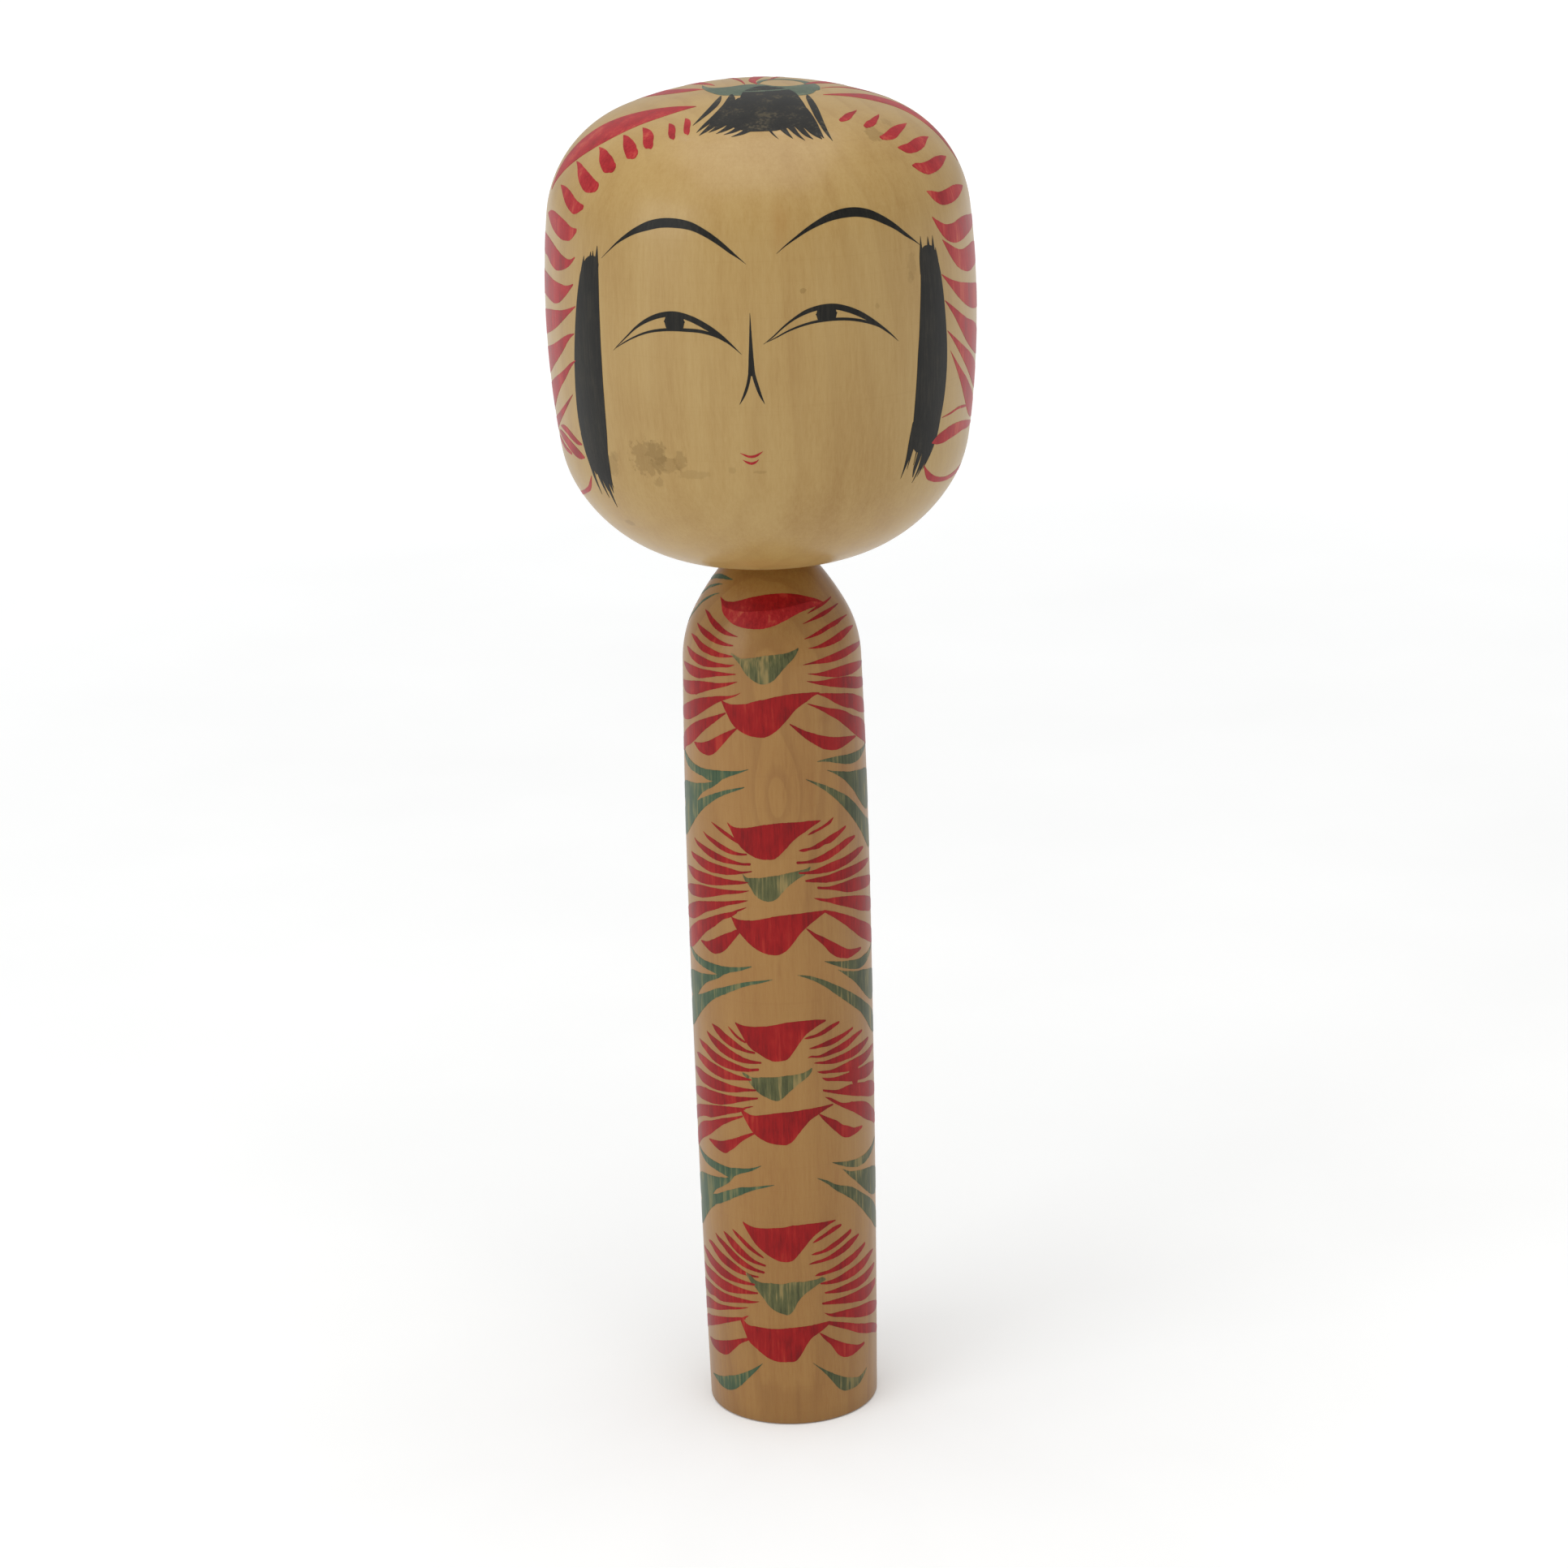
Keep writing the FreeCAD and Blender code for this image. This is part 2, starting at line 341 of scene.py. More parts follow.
# ------------------------------------------------------------------ materials
class Tree:
    """Short hand for a material's nodes."""

    def __init__(self, name):
        self.mat = bpy.data.materials.new(name)
        self.mat.use_nodes = True
        self.t = self.mat.node_tree
        self.bsdf = self.t.nodes["Principled BSDF"]
        tc = self.t.nodes.new("ShaderNodeTexCoord")
        self.obj = tc.outputs["Object"]

    def node(self, kind, **values):
        n = self.t.nodes.new(kind)
        for k, v in values.items():
            setattr(n, k, v)
        return n

    def put(self, value, socket):
        if isinstance(value, bpy.types.NodeSocket):
            self.t.links.new(value, socket)
        else:
            socket.default_value = value

    def math(self, op, a, b=0.0, c=0.0, clamp=False):
        n = self.node("ShaderNodeMath", operation=op, use_clamp=clamp)
        for v, s in zip((a, b, c), n.inputs):
            self.put(v, s)
        return n.outputs[0]

    def noise(self, scale, detail=2.0, rough=0.5, distort=0.0, shift=(0, 0, 0), turn=(0, 0, 0)):
        m = self.node("ShaderNodeMapping")
        m.inputs["Scale"].default_value = scale
        m.inputs["Location"].default_value = shift
        m.inputs["Rotation"].default_value = turn
        self.t.links.new(self.obj, m.inputs["Vector"])
        n = self.node("ShaderNodeTexNoise")
        n.inputs["Scale"].default_value = 1.0
        n.inputs["Detail"].default_value = detail
        n.inputs["Roughness"].default_value = rough
        n.inputs["Distortion"].default_value = distort
        self.t.links.new(m.outputs[0], n.inputs["Vector"])
        return n.outputs["Fac"]

    def ramp(self, fac, stops):
        n = self.node("ShaderNodeValToRGB")
        el = n.color_ramp.elements
        while len(el) < len(stops):
            el.new(0.5)
        for e, (p, c) in zip(el, stops):
            e.position = p
            e.color = (*c, 1) if len(c) == 3 else c
        self.put(fac, n.inputs[0])
        return n.outputs[0]

    def mix(self, fac, a, b, mode="MIX"):
        n = self.node("ShaderNodeMix", data_type="RGBA", blend_type=mode)
        self.put(fac, n.inputs[0])
        for v, s in ((a, n.inputs[6]), (b, n.inputs[7])):
            self.put((*v, 1) if isinstance(v, tuple) and len(v) == 3 else v, s)
        return n.outputs[2]

    def span(self, v, a, b, lo=0.0, hi=1.0, smooth=True):
        n = self.node("ShaderNodeMapRange")
        n.interpolation_type = "SMOOTHSTEP" if smooth else "LINEAR"
        n.clamp = not smooth or True
        for x, s in zip((v, a, b, lo, hi), n.inputs):
            self.put(x, s)
        return n.outputs[0]

    def xyz(self):
        n = self.node("ShaderNodeSeparateXYZ")
        self.t.links.new(self.obj, n.inputs[0])
        return n.outputs

    def spot(self, centre, size, rag=0.35, scale=420.0):
        """Ragged distance from centre (metres), scaled by size (metres): 0 at the centre, 1 at the rim of the patch."""
        m = self.node("ShaderNodeMapping", vector_type="TEXTURE")
        m.inputs["Location"].default_value = centre
        m.inputs["Scale"].default_value = size
        self.t.links.new(self.obj, m.inputs["Vector"])
        ln = self.node("ShaderNodeVectorMath", operation="LENGTH")
        self.t.links.new(m.outputs[0], ln.inputs[0])
        r = self.math("ADD", ln.outputs["Value"],
                      self.math("MULTIPLY", self.math("SUBTRACT", self.noise((scale,) * 3, 3.0, 0.6), 0.5), rag * 2))
        return r


def fibres(t, seed):
    """The wood's figure, shared by bare wood and by the dye that sinks into it."""
    sh = (seed, seed * 1.7, seed * 0.3)
    fine = t.noise((4300, 4300, 430), 2.0, 0.6, shift=sh)
    mid = t.noise((1500, 1500, 95), 2.5, 0.55, shift=sh)
    wide = t.noise((190, 190, 7.0), 2.0, 0.5, 0.3, shift=sh)
    cloud = t.noise((38, 38, 26), 2.0, 0.5, shift=sh)
    return fine, mid, wide, cloud


def field_sum(t, f, w, start=0.5):
    out = start
    for v, k in zip(f, w):
        out = t.math("MULTIPLY_ADD", t.math("SUBTRACT", v, 0.5), k, out)
    return out


# age darkens and yellows the wood and the dyes
TINT = {"wood_head": (0.62, 0.57, 0.42), "wood_body": (0.52, 0.40, 0.22), "wood_peg": (0.62, 0.55, 0.42)}
DYE_TINT = (0.92, 0.82, 0.66)


def finish(t, colour, rough, bump_src, bump=0.12, dist=0.00006, coat=0.3, coat_rough=0.17, level=0.5):
    tint = TINT.get(t.mat.name, DYE_TINT)
    t.put(t.mix(1.0, colour, tint, "MULTIPLY"), t.bsdf.inputs["Base Color"])
    t.put(rough, t.bsdf.inputs["Roughness"])
    t.bsdf.inputs["Specular IOR Level"].default_value = level
    t.bsdf.inputs["Coat Weight"].default_value = coat
    t.bsdf.inputs["Coat Roughness"].default_value = coat_rough
    t.bsdf.inputs["Coat IOR"].default_value = 1.46
    b = t.node("ShaderNodeBump")
    b.inputs["Strength"].default_value = bump
    b.inputs["Distance"].default_value = dist
    t.put(bump_src, b.inputs["Height"])
    t.t.links.new(b.outputs[0], t.bsdf.inputs["Normal"])
    return t.mat


def on_surface(turned, th, s):
    p, _ = turned.at(np.array([[th, s]], float))
    return tuple(float(c) * MM for c in p[0])


def wood(name, which):
    t = Tree(name)
    seed = {"head": 3.1, "body": 11.7, "peg": 23.0}[which]
    f = fibres(t, seed)
    x, y, z = t.xyz()
    tone = field_sum(t, f, (0.42, 0.5, 0.55, 0.75))
    light, mid, dark, deep = {
        "head": ((0.665, 0.475, 0.225), (0.600, 0.405, 0.170), (0.520, 0.325, 0.118), (0.40, 0.22, 0.06)),
        "body": ((0.640, 0.430, 0.190), (0.575, 0.360, 0.140), (0.480, 0.275, 0.092), (0.36, 0.18, 0.045)),
        "peg": ((0.640, 0.460, 0.230), (0.580, 0.395, 0.175), (0.500, 0.315, 0.120), (0.38, 0.21, 0.06)),
    }[which]
    colour = t.ramp(tone, [(0.18, dark), (0.48, mid), (0.82, light)])
    # growth rings: shells about the tree's own axis, well behind the piece and a little tilted
    cx, cy, lean_x, lean_y, period = {
        "head": (0.030, 0.085, 0.16, -0.22, 0.0062),
        "body": (0.006, 0.058, 0.030, 0.060, 0.0041),
        "peg": (0.010, 0.030, 0.0, 0.02, 0.0022),
    }[which]
    rx = t.math("SUBTRACT", x, t.math("MULTIPLY_ADD", z, lean_x, cx))
    ry = t.math("SUBTRACT", y, t.math("MULTIPLY_ADD", z, lean_y, cy))
    dist = t.math("SQRT", t.math("ADD", t.math("MULTIPLY", rx, rx), t.math("MULTIPLY", ry, ry)))
    wob = t.math("MULTIPLY", t.math("SUBTRACT", t.noise((60, 60, 9), 2.0, 0.5, 0.4, (seed, 0, 2)), 0.5), 0.0085)
    dist = t.math("ADD", dist, wob)
    if which == "body":
        # the arched figure under the first flower
        hill = t.spot((0.0008, -0.0205, 0.1500), (0.0062, 0.012, 0.0125), 0.05, 150)
        dist = t.math("ADD", dist, t.math("MULTIPLY", t.span(hill, 1.35, 0.0), 0.0062))
    phase = t.math("FRACT", t.math("DIVIDE", dist, period))
    ring = t.math("MULTIPLY", t.span(phase, 0.50, 0.90), t.span(phase, 1.0, 0.92))
    ring_seen = t.span(t.noise((22, 22, 12), 1.0, 0.5, 0.0, (seed * 2, 5, 1)), 0.36, 0.66, 0.05, 1.0)
    colour = t.mix(t.math("MULTIPLY", t.math("MULTIPLY", ring, ring_seen), {"head": 0.17, "body": 0.30, "peg": 0.3}[which]),
                   colour, deep)
    # faint tool lines left by the lathe
    lathe = t.noise((3, 3, 1900), 1.0, 0.5, 0.0, (seed, 1, 4))
    colour = t.mix(t.span(lathe, 0.55, 0.75, 0.0, 0.07), colour, deep)
    if which == "head":
        stain = (0.300, 0.180, 0.040)
        spots = [(-33.2, 103.4, 4.2, 3.4, 0.55), (-30.2, 102.0, 2.2, 2.2, 0.5), (-28.3, 104.6, 3.2, 1.7, 0.45),
                 (-23.5, 103.5, 1.3, 2.0, 0.5), (-20.2, 106.4, 3.6, 0.9, 0.30), (-30.6, 108.6, 1.0, 1.0, 0.40),
                 (-46.6, 106.2, 1.6, 2.6, 0.40), (-44.9, 104.2, 0.9, 1.0, 0.35), (-9.0, 105.2, 0.8, 0.7, 0.3),
                 (44.3, 36.3, 2.2, 1.7, 0.55), (56.4, 33.6, 1.3, 0.9, 0.35), (10.8, 68.0, 0.6, 0.5, 0.6),
                 (43.0, 65.5, 1.1, 2.6, 0.28), (42.2, 68.0, 0.8, 1.2, 0.28), (-48.5, 121.2, 1.5, 0.7, 0.5),
                 (31.0, 72.5, 0.5, 0.6, 0.35), (-2.0, 105.6, 1.6, 0.3, 0.4)]
        for th, s, wide, tall, k in spots:
            c = on_surface(HEAD, th, s)
            r = t.spot(c, (wide * MM, wide * MM, tall * MM), 0.95, 900.0)
            core = t.math("MULTIPLY", t.span(r, 1.15, 0.55), k * 0.75)
            rim = t.math("MULTIPLY", t.math("MULTIPLY", t.span(r, 1.15, 0.95), t.span(r, 0.62, 0.9)), k * 0.45)
            colour = t.mix(t.math("ADD", core, rim, clamp=True), colour, stain)
        # warmer streak beside the nose
        r = t.spot(on_surface(HEAD, 5.5, 54.5), (0.0022, 0.003, 0.0060), 0.5, 300)
        colour = t.mix(t.span(r, 1.3, 0.2, 0.0, 0.30), colour, (0.50, 0.25, 0.06))
    if which == "body":
        for th, s, wide, tall, k, c in ((2.5, 199.0, 0.8, 7.0, 0.40, (0.36, 0.19, 0.06)), (22, 52, 1.6, 9.0, 0.22, (0.45, 0.23, 0.06)),
                                        (34, 37.5, 1.8, 1.6, 0.30, (0.42, 0.22, 0.05)), (-20, 198, 2.2, 4.5, 0.22, (0.42, 0.24, 0.08)),
                                        (-9, 144, 1.2, 9.0, 0.22, (0.46, 0.24, 0.08)), (-1.5, 94, 0.5, 2.4, 0.25, (0.40, 0.2, 0.06)),
                                        (27, 160, 1.6, 12.0, 0.18, (0.45, 0.25, 0.08))):
            r = t.spot(on_surface(BODY, th, s), (wide * MM, wide * MM * 2, tall * MM), 0.5, 500)
            colour = t.mix(t.span(r, 1.3, 0.2, 0.0, k), colour, c)
        # darker towards the foot, over the last 4.5 mm above the base
        colour = t.mix(t.span(z, 0.0045, 0.0, 0.0, 0.22), colour, (0.33, 0.20, 0.08))
    # darker pores
    pores = t.span(f[0], 0.66, 0.80, 0.0, 0.30)
    colour = t.mix(pores, colour, dark)
    rough = field_sum(t, (f[1], f[3]), (0.12, 0.10), {"head": 0.40, "body": 0.43, "peg": 0.62}[which])
    height = field_sum(t, (f[0], f[1], lathe), (0.8, 0.9, 0.35))
    if which == "peg":
        return finish(t, colour, rough, height, 0.2, 0.00008, 0.0, 0.3)
    return finish(t, colour, rough, height, 0.10, 0.00005, 0.24, 0.20, 0.35)


def dye(name, seed, dark, mid, light, through=(0.50, 0.33, 0.13), thin=0.0, streak=0.5, rough=0.42,
        coat=0.10):
    """Brushed dye: colour carried by the fibres, with drier streaks where the wood shows."""
    t = Tree(name)
    f = fibres(t, seed)
    pool = t.noise((240, 240, 150), 2.0, 0.5, 0.0, (seed, 7, 3))
    tone = field_sum(t, (f[0], f[1], f[2], pool), (0.55, 0.9 * streak + 0.2, 0.5, 0.7))
    colour = t.ramp(tone, [(0.22, dark), (0.5, mid), (0.80, light)])
    if thin > 0:
        dry = field_sum(t, (f[1], f[2], pool), (1.1 * streak + 0.3, 0.8, 0.9))
        colour = t.mix(t.span(dry, 0.62 - thin * 0.25, 0.92 - thin * 0.2, 0.0, min(0.85, 0.35 + thin)), colour, through)
    r = field_sum(t, (f[1], pool), (0.14, 0.14), rough)
    return finish(t, colour, r, field_sum(t, (f[0], f[1]), (0.9, 1.1)), 0.12, 0.00005, coat, 0.20, 0.15)


wood_head = wood("wood_head", "head")
wood_body = wood("wood_body", "body")
wood_peg = wood("wood_peg", "peg")
RED_B = dye("dye_red_body", 11.7, (0.17, 0.002, 0.004), (0.275, 0.004, 0.006), (0.36, 0.010, 0.012), (0.42, 0.06, 0.035), 0.10, 0.5)
RED_B2 = dye("dye_red_thin", 11.7, (0.25, 0.006, 0.010), (0.37, 0.014, 0.020), (0.46, 0.030, 0.035), (0.50, 0.13, 0.07), 0.30, 0.5)
RED_H = dye("dye_red_head", 3.1, (0.23, 0.006, 0.012), (0.36, 0.016, 0.026), (0.45, 0.035, 0.045), (0.50, 0.12, 0.08), 0.22, 0.4)
GREEN_L = dye("dye_green_leaf", 11.7, (0.030, 0.068, 0.042), (0.056, 0.105, 0.066), (0.095, 0.150, 0.090), (0.22, 0.21, 0.10), 0.30, 0.8)
GREEN_H = dye("dye_green_heart", 11.7, (0.055, 0.066, 0.032), (0.105, 0.118, 0.056), (0.165, 0.165, 0.080), (0.30, 0.24, 0.11), 0.45, 0.9)
GREEN_K = dye("dye_green_knot", 3.1, (0.050, 0.085, 0.066), (0.085, 0.130, 0.105), (0.14, 0.19, 0.155), (0.24, 0.25, 0.16), 0.15, 0.5)
BLACK = dye("ink_black", 3.1, (0.0055, 0.0055, 0.005), (0.0105, 0.0105, 0.0095), (0.024, 0.023, 0.020), (0.07, 0.06, 0.045), 0.0, 0.6)
BLACK_H = dye("ink_black_hair", 3.1, (0.0065, 0.0065, 0.0055), (0.0125, 0.0125, 0.011), (0.030, 0.029, 0.024), (0.11, 0.095, 0.06), 0.12, 0.9)


# ------------------------------------------------------------------ turned wood
def revolve(name, rings, segments, material, node, body):
    """A closed turning from (r, z) rings in mm; the first and last lie on the axis."""
    a = np.linspace(0, 2 * math.pi, segments, endpoint=False)
    sn, cs = np.sin(a), -np.cos(a)
    verts = [(0.0, 0.0, rings[0][1] * MM)]
    for r, z in rings[1:-1]:
        verts += [(r * MM * s, r * MM * c, z * MM) for s, c in zip(sn, cs)]
    verts.append((0.0, 0.0, rings[-1][1] * MM))
    faces = []
    k = len(rings) - 2
    for j in range(segments):
        j2 = (j + 1) % segments
        faces.append((0, 1 + j, 1 + j2))
        for i in range(k - 1):
            b0, b1 = 1 + i * segments, 1 + (i + 1) * segments
            faces.append((b0 + j, b1 + j, b1 + j2, b0 + j2))
        last = 1 + (k - 1) * segments
        faces.append((len(verts) - 1, last + j2, last + j))
    mesh = bpy.data.meshes.new(name)
    mesh.from_pydata(verts, [], faces)
    mesh.update()
    obj = bpy.data.objects.new(name, mesh)
    scene.collection.objects.link(obj)
    mesh.shade_smooth()
    mesh.set_sharp_from_angle(angle=math.radians(24))
    mesh.materials.append(material)
    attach(obj, body)
    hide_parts(node)
    return obj


def outline(spec, step):
    p, _ = trace(spec, step)
    return [tuple(q) for q in p]


head_rings = outline(HEAD_ARCS, 0.9) + [(15.0, 201.3), (10.0, 201.3), (5.0, 201.3), (4.5, 201.8)]
head_rings += [(4.5, 201.8 + 2.35 * i) for i in range(1, 11)] + [(0.0, 227.9)]
body_rings = [(0.0, 177.0)] + [(4.58, 179.6 + 2.1 * i) for i in range(0, 11)] + [(5.08, 201.1)]
body_rings += outline(BODY_ARCS, 1.0) + [(14.0, 0.0), (7.0, 0.0), (0.0, 0.0)]
revolve("head_turning", head_rings, 288, wood_head, "head", "head")
revolve("body_turning", body_rings, 240, wood_body, "body", "body")
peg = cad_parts["neck_peg"]
for i in range(max(1, len(peg.material_slots))):
    if len(peg.material_slots):
        peg.material_slots[i].material = wood_peg
    else:
        peg.data.materials.append(wood_peg)

# ------------------------------------------------------------------ head: hair and ribbons
# Crown ribbons, in plan (x, y) seen from above.
crown = Paint("crown_ribbons_front", CROWN, "head", RED_H, 0.0, 0.5, 1.2)
crown.edges([(-12.3, -17.2), (-14.5, -15.9), (-18, -14.0), (-23, -11.6), (-28.5, -9.4), (-34, -7.2), (-38, -5.7), (-41, -4.8), (-42.7, -5.0)],
            [(-12.5, -17.6), (-15, -18.1), (-19, -18.8), (-23.5, -19.1), (-28.5, -18.6), (-33, -16.9), (-37.3, -13.8), (-41, -9.6), (-43.2, -6.2)])
crown.edges([(14.3, -10.9), (17.5, -8.0), (20.5, -5.0), (23.5, -1.6), (26.5, 0.5), (30.5, 1.5), (34.5, 1.2), (38, 0.2), (40.6, -1.4)],
            [(14.5, -11.2), (18.2, -9.4), (22, -7.7), (26, -6.3), (30, -5.4), (34, -5.0), (38, -4.7), (40.6, -4.4), (42.0, -3.4)])
crown.done()
crown = Paint("crown_ribbons_back", CROWN, "head", RED_H, 0.0, 0.5, 1.2)
crown.edges([(-10.2, -5.9), (-14, -5.0), (-18, -2.6), (-21, 0.8), (-23.2, 5.0), (-25.4, 11), (-27.8, 18), (-29.6, 24), (-29.8, 28)],
            [(-10.4, -6.1), (-12.3, -3.6), (-15, -0.4), (-17.5, 3.8), (-18.8, 9), (-20.0, 15), (-21.6, 22), (-24.0, 28), (-27.0, 31)])
crown.sp((-8.4, -3.4, 0.1), (-9.6, -0.5, 0.9), (-11.6, 4, 1.9), (-13.0, 10, 2.9), (-14.2, 18, 4.4), (-15.4, 26, 5.6), (-16.6, 33, 5.0), (-17.3, 37, 2.6))
crown.sp((-2.0, -5.2, 0.1), (-3.0, 0, 0.7), (-4.2, 5, 0.9), (-5.2, 11, 1.3), (-6.2, 20, 2.2), (-6.8, 29, 2.8), (-7.2, 36, 1.6), (-7.3, 39, 0.3))
crown.sp((0.6, -5.6, 0.1), (-0.4, -2, 1.4), (0.0, 2, 2.1), (1.0, 8, 2.7), (2.0, 16, 4.0), (2.6, 25, 5.4), (3.0, 33, 5.2), (3.1, 39, 2.8))
crown.sp((2.8, -1.0, 0.1), (4.2, 4, 0.8), (5.4, 10, 1.1), (7.4, 19, 1.9), (9.2, 28, 2.2), (10.4, 35, 0.9), (10.8, 38, 0.2))
crown.sp((10.6, -3.4, 0.1), (12.6, 0, 1.4), (15.2, 5, 2.4), (17.4, 11, 3.6), (19.6, 19, 5.0), (21.2, 26, 5.6), (22.4, 32, 4.2), (22.9, 35, 1.6))
crown.sp((14.0, -5.5, 0.1), (18.5, 0.6, 0.9), (23.5, 6.2, 2.4), (28.5, 12.0, 4.6), (32.0, 18.5, 5.2), (34.0, 24.0, 2.8))
crown.done()

knot = Paint("hair_knot", CROWN, "head", GREEN_K, 0.0, 0.4, 1.0)
knot.edges([(-10.9, -0.6), (-10.2, -3.4), (-8.4, -5.9), (-5.4, -6.6), (-2, -5.6), (1.2, -5.8), (4.2, -7.4), (7.2, -6.9), (9.4, -5.0), (10.6, -3.4)],
           [(-11.0, -0.8), (-10.9, -4.6), (-9.6, -8.8), (-7.2, -12.6), (-3.2, -14.2), (1, -14.5), (5, -14.5), (9, -13.9), (11.9, -11.4), (13.0, -7.4)])
knot.sp((11.9, -7.0, 3.6), (12.0, -3.6, 3.0), (11.0, -0.8, 2.4), (8.8, 1.0, 2.0), (6.0, 1.4, 1.7), (3.4, 0.4, 1.4), (1.5, -1.8, 1.2), (0.8, -4.6, 0.7))
knot.sp((1.5, -6.6, 0.5), (4.0, -8.0, 0.9), (7.0, -7.6, 0.9), (9.3, -5.6, 0.5))
knot.done()

bangs = Paint("bangs", HEAD, "head", BLACK_H, 0.0, 0.3, 1.0)
bangs.v((12.6, -11.8, 36.0), (14.5, -11.5, 35.2), (16.5, -11.0, 33.2), (18.5, -11.0, 31.0), (20.5, -11.6, 29.3),
        (22.5, -12.6, 27.8), (24.4, -13.4, 26.6))
bangs.v((24.0, -13.2, 6.4), (25.2, -13.6, 5.4), (26.4, -12.5, 3.8))
bangs.v((24.0, 8.0, 26.6), (25.6, 8.6, 25.6), (27.0, 9.4, 24.6))
for st in (((-27.8, 15.2, 0.3), (-25.6, 17.6, 1.1), (-24.3, 20.6, 1.5), (-24.4, 23.8, 1.3), (-25.1, 27.0, 0.8), (-26.0, 30.0, 0.1)),
           ((-20.2, 14.0, 0.5), (-17.4, 16.6, 1.7), (-16.4, 19.6, 2.1), (-17.5, 23.2, 1.9), (-19.2, 26.8, 1.5), (-20.9, 29.8, 1.0), (-22.6, 32.6, 0.1)),
           ((-18.4, 20.0, 0.2), (-19.4, 24.0, 0.35), (-20.8, 28.0, 0.35), (-22.2, 31.0, 0.1)),
           ((-11.2, 16.5, 1.0), (-12.6, 20.6, 2.2), (-14.6, 24.8, 2.4), (-16.7, 28.3, 2.0), (-18.9, 31.3, 1.2), (-21.0, 33.5, 0.1)),
           ((-8.4, 22, 2.6), (-10.6, 25.6, 2.7), (-13.2, 28.8, 2.1), (-15.6, 31.0, 1.1), (-17.8, 32.4, 0.1)),
           ((-4.4, 22, 3.0), (-6.4, 25.8, 2.9), (-9.2, 29.2, 2.2), (-12.0, 31.4, 1.1), (-14.8, 32.8, 0.1)),
           ((-0.2, 23.6, 3.0), (-2.4, 27.2, 2.7), (-5.6, 30.2, 1.8), (-8.8, 32.1, 0.9), (-11.8, 33.1, 0.1)),
           ((4.2, 25.2, 3.0), (2.4, 28.0, 2.2), (-1.2, 30.6, 1.7), (-4.8, 32.5, 1.1), (-8.8, 33.8, 0.1)),
           ((4.0, 28.6, 0.6), (4.7, 30.8, 0.6), (5.9, 32.9, 0.45), (7.8, 34.9, 0.06)),
           ((8.7, 25.0, 1.6), (9.2, 28.2, 1.9), (10.1, 31.0, 1.5), (11.4, 33.3, 0.9), (12.8, 35.0, 0.1)),
           ((11.8, 24, 2.6), (12.6, 28, 2.1), (13.7, 31.4, 1.5), (15.1, 34.0, 0.8), (16.8, 35.8, 0.1)),
           ((15.2, 24, 2.6), (15.9, 28, 2.3), (16.9, 31.4, 1.6), (18.3, 34.2, 1.0), (19.8, 35.6, 0.15)),
           ((19.2, 24, 2.6), (19.5, 28, 2.4), (20.3, 31.4, 2.0), (21.6, 34.1, 1.4), (22.9, 35.7, 0.3)),
           ((24.9, 21, 2.2), (24.0, 25.6, 2.3), (23.1, 30, 2.1), (23.1, 33, 1.4), (23.8, 35.6, 0.2)),
           ((40.5, 16.9, 0.3), (37.2, 18.6, 1.1), (33.8, 21.2, 1.5), (30.7, 24.4, 1.6), (28.2, 27.8, 1.5), (26.7, 31, 1.2), (26.1, 34, 0.8), (26.4, 36.6, 0.1))):
    bangs.sp(*st)
bangs.done()

L = Paint("side_lock_left", HEAD, "head", BLACK, 0.0, 0.3, 1.0)
L.v((64.6, -53.3, -46.8), (66, -54.3, -46.7), (68, -55.0, -46.6), (72, -56.1, -46.5), (76, -57.0, -46.4), (80, -57.8, -46.4), (84, -58.6, -46.4),
    (88, -59.2, -46.5), (92, -59.7, -46.6), (96, -60.0, -46.8), (99, -59.9, -47.0), (102, -59.3, -47.4), (104.4, -58.4, -47.8), (106.2, -57.4, -48.2))
for st in (((-53.6, 67, 1.3), (-53.2, 64.6, 0.9), (-52.9, 62.6, 0.1)), ((-52.4, 67.5, 1.0), (-52.1, 65.4, 0.6), (-51.9, 63.6, 0.1)),
           ((-50.6, 67, 1.8), (-50.2, 64, 1.2), (-50.0, 61.4, 0.1)), ((-49.2, 67, 1.8), (-49.0, 64, 1.2), (-49.1, 61.2, 0.1)),
           ((-47.9, 67, 1.8), (-47.7, 64, 1.4), (-47.5, 62, 0.8), (-47.4, 60.0, 0.1)),
           ((-58.7, 101, 1.6), (-58.0, 104.6, 1.2), (-57.2, 107.4, 0.5), (-56.8, 109.0, 0.1)),
           ((-57.3, 103, 1.6), (-56.7, 107, 1.2), (-56.0, 110.2, 0.8), (-55.5, 112.6, 0.4), (-55.3, 114.2, 0.06)),
           ((-55.9, 104, 1.4), (-55.5, 107, 0.8), (-55.0, 109.6, 0.06)),
           ((-54.6, 104, 1.6), (-54.0, 107.6, 1.1), (-53.0, 110.8, 0.9), (-52.3, 113.2, 0.4), (-52.0, 114.6, 0.06)),
           ((-53.0, 104, 1.7), (-52.4, 108, 1.4), (-51.5, 111, 0.8), (-51.0, 112.8, 0.06)),
           ((-51.4, 104, 1.9), (-50.9, 108, 1.7), (-50.4, 112, 1.0), (-50.1, 114.6, 0.5), (-50.1, 116.8, 0.06)),
           ((-49.7, 104, 2.0), (-49.4, 108, 1.7), (-49.0, 111, 0.8), (-48.8, 113.0, 0.06)),
           ((-48.6, 104, 1.4), (-48.4, 108, 1.0), (-48.2, 110.6, 0.3), (-48.1, 111.8, 0.06))):
    L.sp(*st)
L.done()
R = Paint("side_lock_right", HEAD, "head", BLACK, 0.0, 0.3, 1.0)
